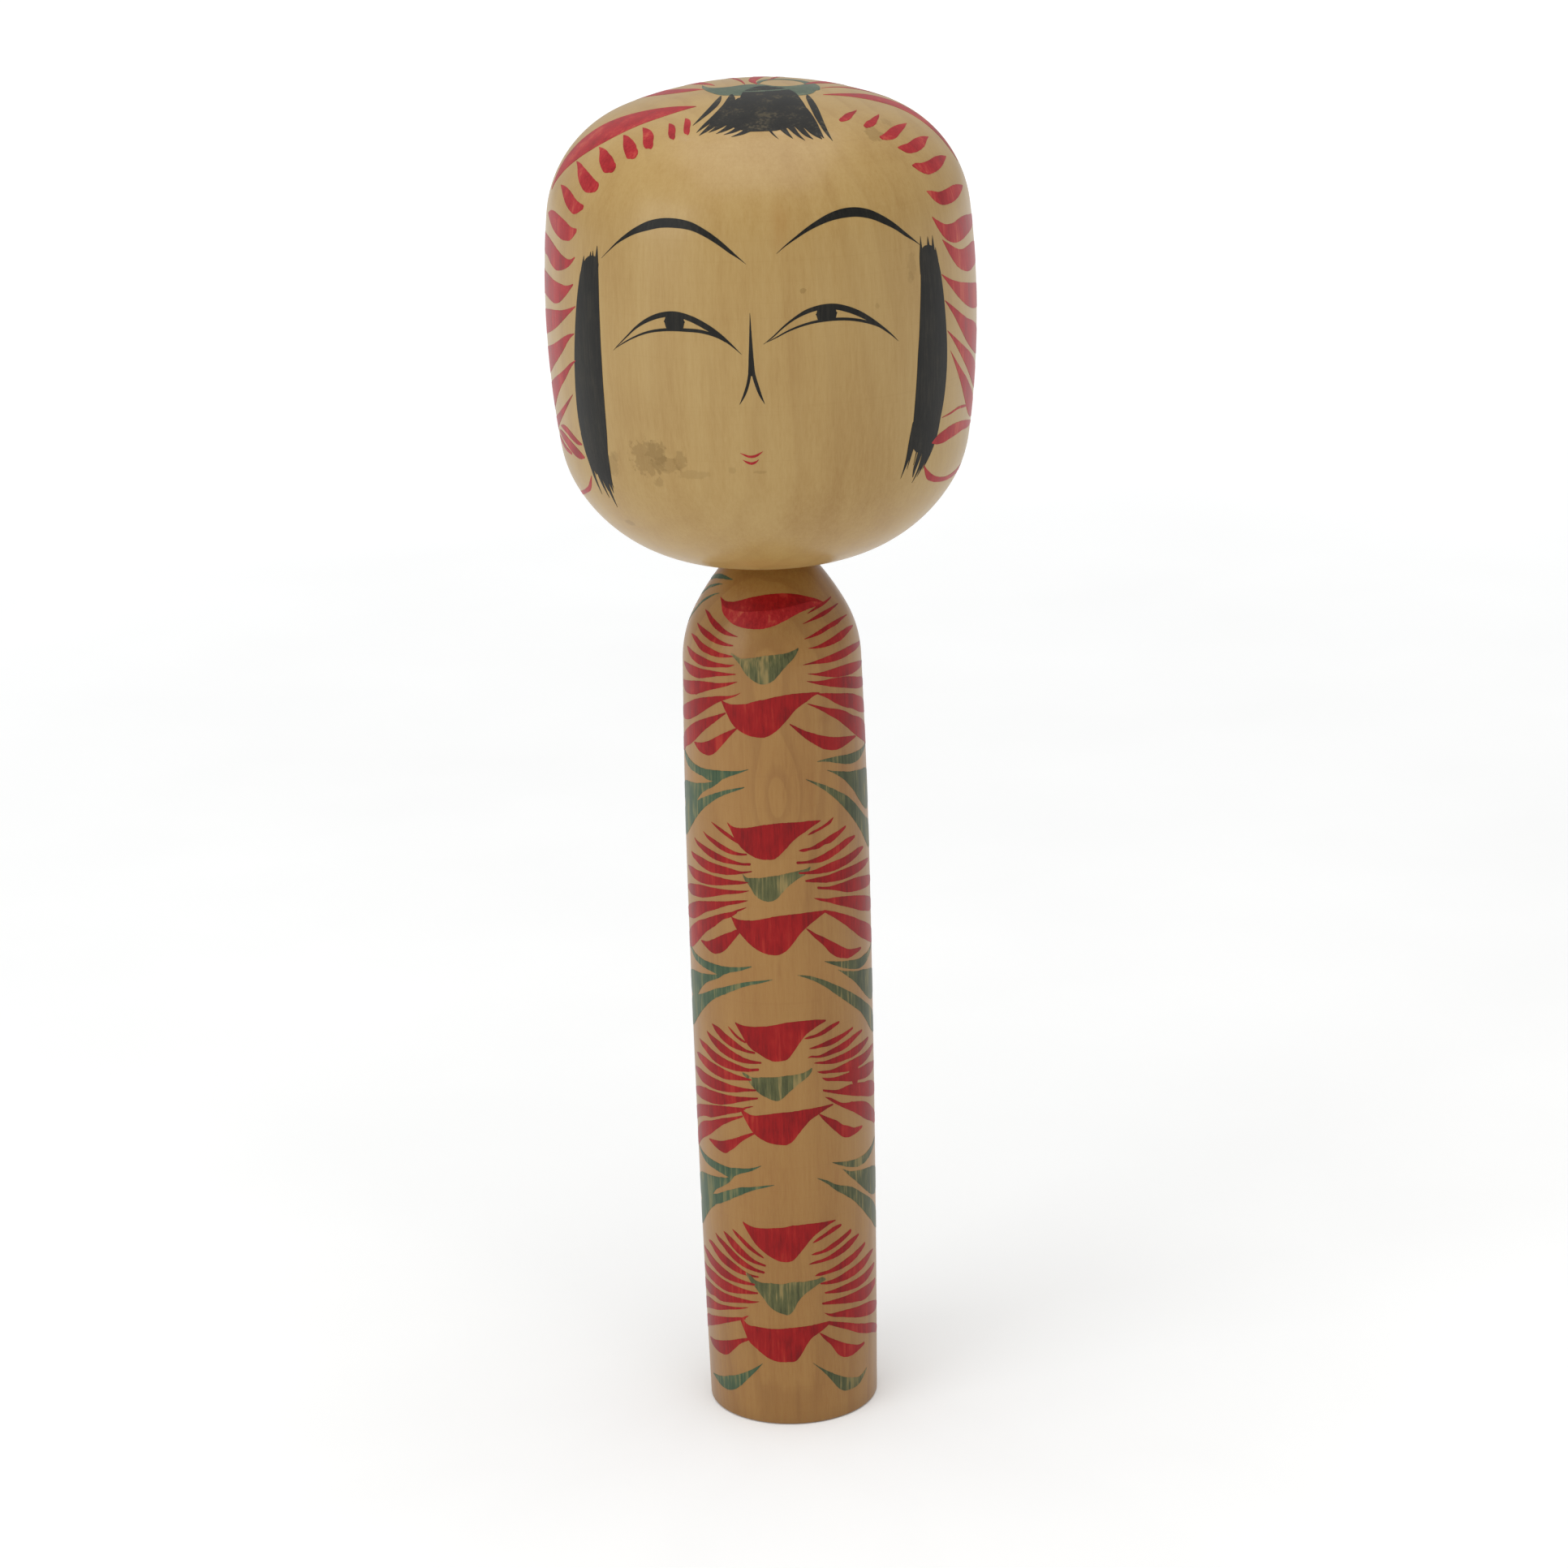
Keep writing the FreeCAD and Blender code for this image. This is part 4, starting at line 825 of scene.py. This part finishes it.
               [(25, 75.1, 75.7), (32, 75.6, 76.3), (40, 75.6, 77.2), (47, 75.6, 78.2), (56, 75.7, 78.8), (67, 76.5, 79.4), (78, 77.5, 79.9), (87, 78.8, 80.0)],
               [(22, 77.6, 77.7), (25, 77.8, 78.3), (31, 78.3, 79.1), (38, 78.5, 80.3), (46, 79.0, 81.5), (53, 79.6, 82.6), (60, 80.3, 83.8), (68, 81.2, 84.8), (76, 82.3, 85.8), (84, 83.6, 86.2), (91, 84.9, 86.2)],
               [(29, 80.8, 81.4), (36, 81.7, 83.2), (44, 83.0, 85.4), (52, 84.4, 87.8), (60, 86.0, 90.0), (69, 87.6, 91.8), (78, 89.3, 93.4), (87, 91.4, 94.6), (94, 93.2, 94.6)],
               [(16, 84.3, 84.4), (17.5, 84.6, 85.1), (22, 85.8, 87.0), (28, 87.1, 89.2), (32, 88.1, 91.0), (38, 89.5, 92.6), (42, 90.5, 93.1), (47, 91.5, 93.6), (53, 92.0, 93.4), (60, 92.4, 93.0)]]),
    3: dict(
        upper=[(-31, 106.7, 107.2), (-28, 107.0, 108.9), (-24, 107.2, 111.2), (-20.5, 107.2, 112.6), (-17, 107.1, 113.3), (-11, 106.9, 114.6), (-6, 106.6, 115.2), (-2, 106.3, 115.1), (2, 106.0, 114.7), (6, 105.95, 113.0), (10, 105.9, 111.0), (14, 105.9, 109.3), (20, 106.0, 107.9), (27, 106.4, 106.9)],
        heart=[(-27, 118.4, 118.9), (-24, 118.8, 119.9), (-22, 119.2, 121.0), (-19, 119.3, 122.2), (-15, 119.1, 123.3), (-10, 119.0, 124.2), (-5, 118.9, 124.6), (-1, 118.7, 123.8), (3, 118.6, 122.4), (8, 118.4, 120.9), (12, 118.2, 119.9), (15, 117.8, 119.1), (16.6, 117.4, 118.4)],
        lower=[(-30, 127.1, 127.6), (-26, 127.9, 130.2), (-23, 128.3, 132.0), (-20, 128.4, 133.1), (-15, 128.1, 134.2), (-10, 127.8, 134.9), (-4, 127.5, 135.2), (0, 127.35, 135.2), (3, 127.3, 134.6), (8, 127.15, 132.6), (12, 127.0, 130.9), (16, 127.0, 129.6), (20, 126.9, 128.8), (25, 126.85, 127.9), (31, 126.8, 127.2)],
        left=[[(-37, 108.0, 108.1), (-35, 108.4, 109.0), (-30, 109.8, 110.5), (-25, 110.8, 111.3)],
              [(-51, 108.5, 108.7), (-49, 108.6, 109.6), (-44, 109.0, 111.1), (-40, 109.8, 112.0), (-35, 110.7, 112.7), (-29, 111.9, 113.2), (-24, 112.8, 113.5), (-19, 113.1, 113.6)],
              [(-57, 110.9, 111.1), (-55, 111.1, 112.0), (-51, 111.5, 113.1), (-46, 112.0, 114.2), (-37, 113.3, 115.4), (-31, 114.2, 115.9), (-25, 114.9, 116.1), (-15, 115.4, 115.8)],
              [(-68, 113.9, 114.1), (-65, 114.0, 115.1), (-60, 114.1, 115.8), (-52, 114.9, 117.2), (-43, 115.8, 118.0), (-37, 116.3, 118.2), (-31, 116.7, 118.3), (-25, 117.2, 118.1), (-17, 117.0, 117.6)],
              [(-74, 117.9, 118.2), (-71, 117.6, 118.8), (-66, 117.5, 119.3), (-60, 117.6, 119.9), (-55, 117.9, 120.3), (-48, 118.2, 120.7), (-42, 118.6, 120.9), (-32, 119.2, 120.5), (-22, 119.7, 120.1)],
              [(-80, 122.0, 122.8), (-76, 121.7, 123.3), (-72, 121.4, 123.6), (-68, 121.4, 124.0), (-60, 121.5, 124.2), (-51, 121.6, 124.3), (-42, 121.8, 124.0), (-34, 122.0, 123.6), (-26, 122.1, 122.9), (-19, 122.1, 122.5)],
              [(-84, 127.6, 128.8), (-79, 126.8, 128.8), (-73, 126.0, 128.6), (-68, 125.5, 128.5), (-63, 125.2, 128.3), (-54, 124.9, 128.0), (-46, 124.7, 127.5), (-39, 124.6, 126.8), (-28, 124.3, 125.4), (-18, 124.0, 124.4)],
              [(-94, 134.4, 136.6), (-86, 132.6, 135.8), (-79, 131.3, 134.5), (-72, 130.3, 133.3), (-64, 129.4, 132.2), (-56, 128.6, 131.6), (-48, 127.9, 130.5), (-40, 127.4, 129.3), (-30, 127.0, 128.0), (-27, 126.9, 127.4)],
              [(-92, 141.0, 142.6), (-86, 138.9, 142.2), (-80, 136.9, 141.0), (-73, 135.0, 139.1), (-65, 133.5, 137.4), (-57, 132.5, 135.7), (-51, 131.6, 134.0), (-45, 130.7, 132.4), (-39, 130.0, 131.1), (-29, 128.8, 129.3)],
              [(-29, 127.1, 127.2), (-26, 126.6, 127.0), (-23, 126.3, 126.6), (-21, 126.2, 126.3)],
              [(-60, 137.2, 137.4), (-57, 137.0, 137.8), (-53, 136.8, 138.4), (-48, 136.5, 138.9), (-43, 135.9, 139.0), (-39, 135.3, 138.0), (-34, 134.5, 136.6), (-30, 133.8, 135.2), (-25, 133.0, 133.9), (-21, 132.5, 133.0)]],
        right=[[(13, 110.1, 110.2), (15, 109.8, 110.3), (20, 109.5, 110.2), (26, 108.7, 109.8), (31, 108.0, 109.1), (37, 107.6, 108.2)],
               [(16, 112.6, 112.7), (18, 112.4, 112.8), (24, 111.9, 112.8), (30, 111.4, 112.8), (40, 110.8, 111.9), (49, 110.2, 110.7)],
               [(15, 114.7, 114.8), (17, 114.4, 114.8), (21, 114.6, 115.1), (32, 113.7, 115.0), (43, 112.8, 114.5), (53, 112.0, 113.1), (59, 111.9, 112.5)],
               [(19, 116.2, 116.3), (21, 116.1, 116.5), (26, 116.2, 116.9), (33, 115.9, 117.3), (42, 115.6, 117.3), (51, 115.2, 117.2), (60, 114.9, 116.5), (68, 114.8, 115.6)],
               [(21, 118.4, 118.5), (23, 118.4, 118.9), (31, 118.6, 119.4), (38, 118.3, 119.9), (45, 118.0, 120.3), (53, 117.9, 120.3), (62, 117.9, 120.1), (73, 117.8, 119.4), (80, 117.9, 118.8)],
               [(24, 120.0, 120.1), (26, 120.2, 120.8), (32, 120.6, 121.4), (39, 120.6, 122.1), (45, 120.6, 122.8), (53, 120.7, 123.4), (62, 120.9, 124.0), (70, 121.2, 124.2), (78, 122.0, 124.0), (84, 122.6, 123.6)],
               [(25, 122.9, 123.4), (30, 123.4, 124.1), (35, 123.8, 124.8), (44, 123.6, 126.0), (53, 124.0, 127.2), (61, 124.8, 128.2), (68, 125.3, 129.2), (76, 126.4, 130.0), (84, 128.0, 130.4), (90, 129.2, 130.2)],
               [(26, 124.8, 124.9), (28, 125.0, 125.5), (39, 127.3, 128.4), (48, 128.0, 130.4), (57, 128.9, 132.7), (65, 130.2, 134.5), (73, 132.3, 135.9), (82, 134.6, 137.6), (90, 136.4, 137.8)],
               [(46, 119.9, 121.2), (49, 119.7, 124.0), (52.5, 119.8, 124.3), (54, 120.0, 121.2)],
               [(21, 128.4, 128.5), (23, 128.8, 129.6), (28, 129.9, 131.7), (34, 131.1, 134.0), (39, 132.6, 135.6), (44, 133.4, 136.1), (48, 134.2, 136.0), (53, 134.6, 135.8), (57, 134.8, 135.4)]]),
    4: dict(
        upper=[(-31, 154.8, 155.4), (-28, 155.3, 157.2), (-23, 155.7, 159.7), (-16, 155.7, 161.9), (-10, 155.5, 163.2), (-4, 155.3, 163.8), (2, 154.9, 163.4), (6, 154.85, 161.9), (10, 154.8, 160.2), (15, 154.8, 158.2), (20, 154.85, 157.0), (26, 154.9, 155.9), (31, 155.0, 155.3)],
        heart=[(-30, 167.3, 168.0), (-27, 167.8, 169.5), (-24, 168.8, 170.6), (-21, 169.1, 172.0), (-18, 169.2, 173.4), (-15, 169.2, 174.8), (-11, 169.2, 175.9), (-6, 169.3, 176.7), (-2, 169.1, 176.9), (1, 168.8, 175.9), (4, 168.8, 173.8), (8, 168.9, 172.2), (13, 168.8, 171.0), (18, 168.6, 169.9), (21, 168.4, 169.5), (23, 168.8, 169.2)],
        lower=[(-37, 179.0, 179.4), (-34, 179.4, 181.8), (-31, 180.3, 184.2), (-24, 180.4, 186.2), (-17, 180.5, 187.9), (-10, 180.5, 188.7), (-4, 180.3, 188.7), (2, 180.1, 188.4), (6, 180.0, 186.6), (9, 179.95, 184.8), (13, 179.9, 183.0), (17, 179.8, 182.2), (20, 179.7, 181.6), (25, 179.6, 180.4)],
        left=[[(-40, 157.3, 157.5), (-38, 157.6, 158.4), (-33, 158.7, 159.9), (-28, 160.0, 161.3), (-23, 161.4, 162.3), (-18, 162.7, 163.1)],
              [(-48, 158.6, 158.9), (-46, 158.8, 159.9), (-41, 159.6, 161.8), (-36, 160.8, 163.0), (-31, 162.1, 163.9), (-26, 163.4, 164.5), (-17, 164.6, 165.1)],
              [(-57, 160.1, 160.4), (-55, 160.4, 161.3), (-50, 161.0, 162.4), (-45, 161.8, 163.7), (-34, 164.1, 165.8), (-28, 165.2, 166.4), (-23, 165.9, 166.7), (-18, 166.3, 166.9)],
              [(-67, 163.0, 163.5), (-64, 162.8, 163.9), (-60, 163.1, 164.8), (-52, 164.2, 166.4), (-43, 165.3, 167.4), (-36, 166.4, 167.9), (-29, 167.4, 168.1), (-22, 167.7, 168.1)],
              [(-80, 166.2, 167.0), (-75, 166.3, 167.7), (-71, 166.2, 168.3), (-60, 167.1, 169.4), (-49, 168.1, 170.3), (-43, 168.7, 170.4), (-37, 169.2, 170.4), (-25, 169.7, 170.2)],
              [(-82, 170.6, 171.8), (-76, 170.6, 172.6), (-70, 170.4, 172.8), (-62, 170.4, 173.0), (-55, 170.8, 173.3), (-47, 171.1, 173.5), (-35, 171.5, 172.9), (-23, 171.8, 172.2)],
              [(-86, 175.0, 177.4), (-78, 174.4, 177.0), (-70, 174.1, 177.0), (-62, 174.1, 176.5), (-55, 174.2, 176.7), (-45, 174.2, 176.0), (-35, 174.1, 175.2), (-25, 174.1, 174.5), (-22, 174.0, 174.1)],
              [(-92, 181.2, 183.6), (-85, 179.8, 182.7), (-78, 178.7, 181.6), (-73, 178.2, 181.0), (-66, 178.0, 180.2), (-59, 177.8, 179.5), (-47, 177.1, 178.0), (-35, 176.3, 176.7), (-30, 175.9, 176.0)],
              [(-96, 187.2, 189.0), (-88, 184.9, 188.0), (-78, 183.1, 186.1), (-69, 182.2, 184.8), (-60, 181.2, 183.3), (-52, 180.4, 182.0), (-45, 179.7, 180.9), (-36, 178.9, 179.6), (-33, 178.8, 179.2)],
              [(-36, 179.0, 179.1), (-33, 178.4, 178.9), (-30, 178.0, 178.1)],
              [(-76, 188.6, 189.0), (-72, 188.3, 189.8), (-67, 188.0, 190.1), (-61, 187.4, 190.3), (-50, 186.1, 189.6), (-44, 185.3, 187.8), (-38, 184.4, 185.8), (-31, 183.6, 184.3)]],
        right=[[(15, 159.5, 159.6), (17, 158.9, 159.5), (23, 157.8, 158.7), (30, 156.6, 157.8), (35, 156.4, 157.1)],
               [(14, 162.4, 162.5), (16, 162.1, 162.6), (21, 161.8, 162.5), (29, 160.6, 161.9), (36, 159.6, 160.9), (43, 158.6, 159.7)],
               [(12, 164.7, 164.8), (14, 164.4, 164.8), (23, 163.8, 164.6), (34, 162.4, 164.0), (44, 161.0, 162.7), (51, 160.6, 161.2)],
               [(16, 167.7, 167.8), (18, 167.3, 167.9), (25, 167.0, 167.8), (36, 165.8, 167.5), (49, 164.5, 166.2), (58, 163.7, 164.6)],
               [(20, 169.7, 170.1), (30, 169.4, 170.6), (40, 168.6, 170.6), (49, 168.0, 170.2), (58, 167.4, 169.5), (67, 167.0, 168.2), (72, 167.2, 167.6)],
               [(23, 172.2, 172.6), (31, 172.0, 173.1), (40, 171.7, 173.5), (55, 171.4, 173.6), (67, 171.0, 172.8), (74, 171.0, 172.0)],
               [(21, 174.7, 175.2), (33, 174.6, 176.0), (46, 174.6, 177.0), (58, 174.6, 177.8), (67, 174.9, 177.5), (76, 175.2, 176.8)],
               [(22, 177.3, 177.4), (24, 177.6, 178.0), (37, 178.0, 179.7), (50, 178.6, 181.3), (60, 179.0, 182.3), (68, 179.7, 182.9), (78, 181.0, 183.4), (86, 182.4, 183.2)],
               [(25, 179.6, 180.5), (31, 180.3, 181.6), (40, 181.4, 183.2), (48, 182.6, 184.8), (58, 183.9, 186.4), (69, 185.3, 187.8), (79, 187.0, 189.2), (87, 188.6, 189.4)],
               [(18, 182.0, 182.1), (20, 182.4, 183.2), (26, 183.9, 185.6), (33, 185.4, 189.0), (36, 186.0, 189.6), (43, 187.2, 190.0), (51, 188.2, 189.4), (56, 188.3, 189.0)]]),
}
for k, fl in FLOWERS.items():
    P = Paint("flower%d_upper_petal" % k, BODY, "body", RED_B2 if k == 1 else RED_B, 0.07, 0.28, 1.0)
    P.h(*fl["upper"])
    P.done()
    P = Paint("flower%d_lower_petal" % k, BODY, "body", RED_B, 0.07, 0.28, 1.0)
    P.h(*fl["lower"])
    P.done()
    for hand in ("left", "right"):
        P = Paint("flower%d_petals_%s" % (k, hand), BODY, "body", RED_B, 0.07, 0.28, 1.0)
        for st in fl[hand]:
            P.h(*st)
        P.done()
    P = Paint("flower%d_heart" % k, BODY, "body", GREEN_H, 0.10, 0.28, 1.0)
    P.h(*fl["heart"])
    P.done()
# the first petal was gone over twice along its upper edge
TOP += 0.016
P = Paint("flower1_second_coat", BODY, "body", RED_B, 0.05, 0.28, 1.0)
P.h((-49, 10.2, 10.35), (-46, 10.5, 11.3), (-42, 10.8, 12.0), (-35, 10.7, 12.4), (-28, 10.2, 12.6), (-20, 9.5, 12.6), (-10, 8.9, 12.4), (0, 8.55, 12.2),
    (10, 8.5, 11.9), (20, 8.8, 11.6), (30, 9.5, 11.3), (38, 10.3, 11.3), (44, 11.0, 11.7), (48, 11.7, 12.1))
P.done()
TOP -= 0.016

LEAVES = {
    "leaves_1_left": [[(-17, 47.5, 47.6), (-24, 48.1, 48.7), (-32, 48.4, 49.9), (-40, 48.7, 51.0), (-46, 48.9, 51.4), (-52, 49.0, 50.9), (-60, 48.9, 50.7), (-68, 48.4, 50.4), (-74, 47.9, 49.8), (-80, 47.4, 48.6)],
                      [(-35, 49.9, 50.4), (-42, 51.2, 52.4), (-48, 52.0, 53.6), (-54, 52.6, 55.0), (-60, 53.1, 57.2), (-66, 53.4, 59.6), (-74, 53.9, 60.5), (-80, 54.4, 60.0), (-88, 55.8, 58.8)],
                      [(-20, 51.6, 51.8), (-28, 52.3, 53.0), (-36, 53.2, 54.3), (-44, 54.4, 56.1), (-52, 55.7, 58.2), (-60, 57.2, 60.8), (-68, 58.6, 63.6), (-76, 59.0, 66.0), (-84, 60.5, 67.5), (-92, 63.4, 67.2)]],
    "leaves_1_right": [[(27, 46.6, 46.7), (34, 46.4, 47.1), (42, 46.5, 48.0), (50, 46.8, 48.9), (58, 47.1, 49.4), (66, 47.3, 49.3), (74, 47.4, 48.6), (82, 47.3, 47.9)],
                       [(34, 49.0, 49.1), (40, 49.7, 50.3), (46, 50.2, 51.8), (52, 50.8, 53.7), (58, 51.2, 55.9), (64, 51.6, 58.4), (70, 52.0, 60.5), (78, 52.5, 62.0), (86, 53.6, 61.5), (94, 55.4, 59.5)],
                       [(19, 50.2, 50.3), (26, 51.3, 52.0), (34, 52.7, 54.2), (42, 54.4, 56.8), (50, 56.2, 59.8), (58, 58.6, 63.0), (66, 61.2, 66.2), (74, 63.4, 69.4), (82, 65.0, 71.6), (90, 67.8, 71.5)]],
    "leaves_2_left": [[(-19, 92.9, 93.1), (-26, 93.4, 94.2), (-34, 93.8, 95.1), (-42, 94.0, 96.2), (-50, 94.0, 96.0), (-58, 94.0, 95.8), (-66, 93.8, 95.4), (-74, 93.4, 94.6), (-80, 93.0, 93.7)],
                      [(-38, 95.2, 95.6), (-44, 96.2, 97.2), (-50, 96.8, 98.2), (-56, 97.2, 99.4), (-62, 97.6, 101.2), (-68, 97.9, 103.4), (-76, 98.4, 104.6), (-84, 99.4, 104.4), (-92, 101.2, 103.6)],
                      [(-6, 95.8, 95.9), (-14, 96.2, 96.8), (-22, 96.7, 97.6), (-30, 97.6, 98.9), (-38, 98.7, 100.4), (-46, 99.8, 101.9), (-54, 101.2, 104.0), (-62, 102.6, 106.6), (-70, 103.6, 109.2), (-78, 104.6, 111.6), (-86, 106.6, 112.8), (-94, 109.4, 112.5)]],
    "leaves_2_right": [[(28, 92.7, 92.8), (35, 93.3, 94.2), (42, 93.9, 95.4), (50, 94.4, 96.5), (58, 94.9, 97.2), (66, 94.9, 97.0), (74, 94.7, 96.0), (82, 94.2, 94.9)],
                       [(38, 95.5, 95.6), (44, 96.4, 97.3), (50, 97.0, 99.0), (56, 97.6, 101.0), (62, 98.0, 103.2), (70, 98.8, 105.6), (78, 99.6, 107.0), (86, 100.8, 106.4), (94, 102.6, 104.6)],
                       [(10, 95.0, 95.1), (18, 95.6, 96.4), (26, 96.9, 98.2), (34, 98.5, 100.6), (42, 100.3, 103.0), (50, 102.2, 105.3), (58, 104.2, 107.5), (66, 106.3, 110.6), (74, 108.2, 113.6), (82, 110.5, 115.5), (90, 113.2, 116.0)]],
    "leaves_3_left": [[(-17, 140.4, 140.5), (-24, 141.3, 142.0), (-32, 141.8, 143.1), (-40, 142.2, 144.6), (-48, 142.2, 144.3), (-56, 142.1, 144.0), (-64, 142.0, 143.8), (-72, 141.8, 143.0), (-79, 141.4, 142.0)],
                      [(-37, 143.6, 144.2), (-42, 144.8, 146.2), (-48, 145.4, 147.6), (-54, 145.8, 149.0), (-60, 146.2, 151.2), (-68, 146.7, 153.0), (-76, 147.4, 154.4), (-84, 148.8, 154.2), (-92, 150.6, 153.2)],
                      [(-9, 144.9, 145.0), (-16, 145.3, 145.8), (-24, 145.9, 146.8), (-32, 146.5, 148.3), (-40, 147.6, 149.9), (-48, 149.0, 151.6), (-55, 150.2, 152.8), (-62, 151.0, 154.7), (-70, 152.4, 157.4), (-78, 154.0, 160.0), (-86, 156.2, 161.6), (-94, 158.9, 161.2)]],
    "leaves_3_right": [[(30, 140.9, 141.0), (37, 141.4, 142.3), (44, 141.9, 143.4), (52, 142.2, 144.2), (60, 142.2, 144.2), (68, 141.9, 143.6), (76, 141.4, 142.6), (82, 141.0, 141.5)],
                       [(38, 143.2, 143.3), (44, 144.4, 145.6), (50, 145.0, 147.6), (56, 145.5, 149.6), (62, 145.9, 151.4), (70, 146.6, 153.4), (78, 147.5, 154.4), (86, 149.0, 154.2), (94, 151.0, 153.2)],
                       [(19, 143.9, 144.0), (26, 145.0, 145.8), (32, 146.4, 147.8), (38, 147.3, 149.4), (46, 148.5, 151.6), (54, 150.6, 154.4), (62, 152.6, 157.4), (70, 154.6, 160.0), (78, 157.0, 162.6), (86, 159.8, 164.0), (93, 162.2, 164.2)]],
    "leaves_4_left": [[(-21, 189.4, 189.5), (-26, 190.7, 191.6), (-32, 192.0, 193.8), (-38, 193.2, 196.0), (-44, 194.2, 197.7), (-50, 195.0, 198.6), (-56, 195.9, 198.8), (-62, 196.5, 198.5), (-68, 197.0, 197.9), (-73, 197.4, 197.6)]],
    "leaves_4_right": [[(13, 189.3, 189.4), (20, 191.2, 191.9), (26, 192.6, 194.5), (32, 193.9, 197.2), (38, 195.0, 198.3), (44, 195.7, 198.4), (50, 196.3, 198.1), (55, 195.9, 197.0), (59, 195.3, 195.7)]],
    "shoulder_strokes": [[(-96, 7.4, 8.2), (-88, 6.6, 8.0), (-80, 6.0, 7.2), (-70, 5.4, 6.6), (-60, 5.3, 6.2), (-50, 5.5, 6.0), (-44, 5.7, 5.8)],
                         [(-94, 11.6, 12.4), (-86, 10.2, 11.3), (-80, 9.0, 9.9), (-70, 8.0, 8.7), (-62, 7.4, 7.8), (-56, 7.3, 7.4)],
                         [(-92, 18.0, 19.0), (-84, 15.2, 16.4), (-80, 13.8, 15.0), (-74, 12.0, 12.9), (-66, 10.6, 11.3), (-60, 9.8, 10.2), (-54, 9.4, 9.5)]],
}
# the right-hand leaves take the olive painted-shade copy of the leaf dye
for name, strokes in LEAVES.items():
    P = Paint(name, BODY, "body", GREEN_DRY_SHADED_SIDE if name.endswith("right") else GREEN_L, 0.09, 0.28, 1.0)
    for st in strokes:
        P.h(*(st if st[0][0] < st[-1][0] else st[::-1]))
    P.done()

# ------------------------------------------------------------------ floor
t = Tree("floor_paper")
t.put(t.ramp(t.noise((9, 9, 9), 3.0, 0.5), [(0.3, (0.905, 0.905, 0.90)), (0.7, (0.93, 0.93, 0.925))]), t.bsdf.inputs["Base Color"])
t.bsdf.inputs["Roughness"].default_value = 0.85
t.bsdf.inputs["Emission Color"].default_value = (1.0, 1.0, 1.0, 1.0)
# painted light: the floor glows, its emission rising from 0.05 near the doll to 0.52 beyond 1.9 m, so the sweep stays
# white to the edge of the frame
far = t.node("ShaderNodeVectorMath")
far.operation = "LENGTH"
t.t.links.new(t.obj, far.inputs[0])
glow = t.node("ShaderNodeMapRange")
glow.interpolation_type = "SMOOTHSTEP"
t.t.links.new(far.outputs["Value"], glow.inputs["Value"])
for socket, value in (("From Min", 0.25), ("From Max", 1.9), ("To Min", 0.05), ("To Max", 0.52)):
    glow.inputs[socket].default_value = value
t.t.links.new(glow.outputs["Result"], t.bsdf.inputs["Emission Strength"])
mesh = bpy.data.meshes.new("floor")
mesh.from_pydata([(-7, -7, -0.0001), (7, -7, -0.0001), (7, 7, -0.0001), (-7, 7, -0.0001)], [], [(0, 1, 2, 3)])
mesh.update()
mesh.materials.append(t.mat)
floor = bpy.data.objects.new("floor", mesh)
scene.collection.objects.link(floor)
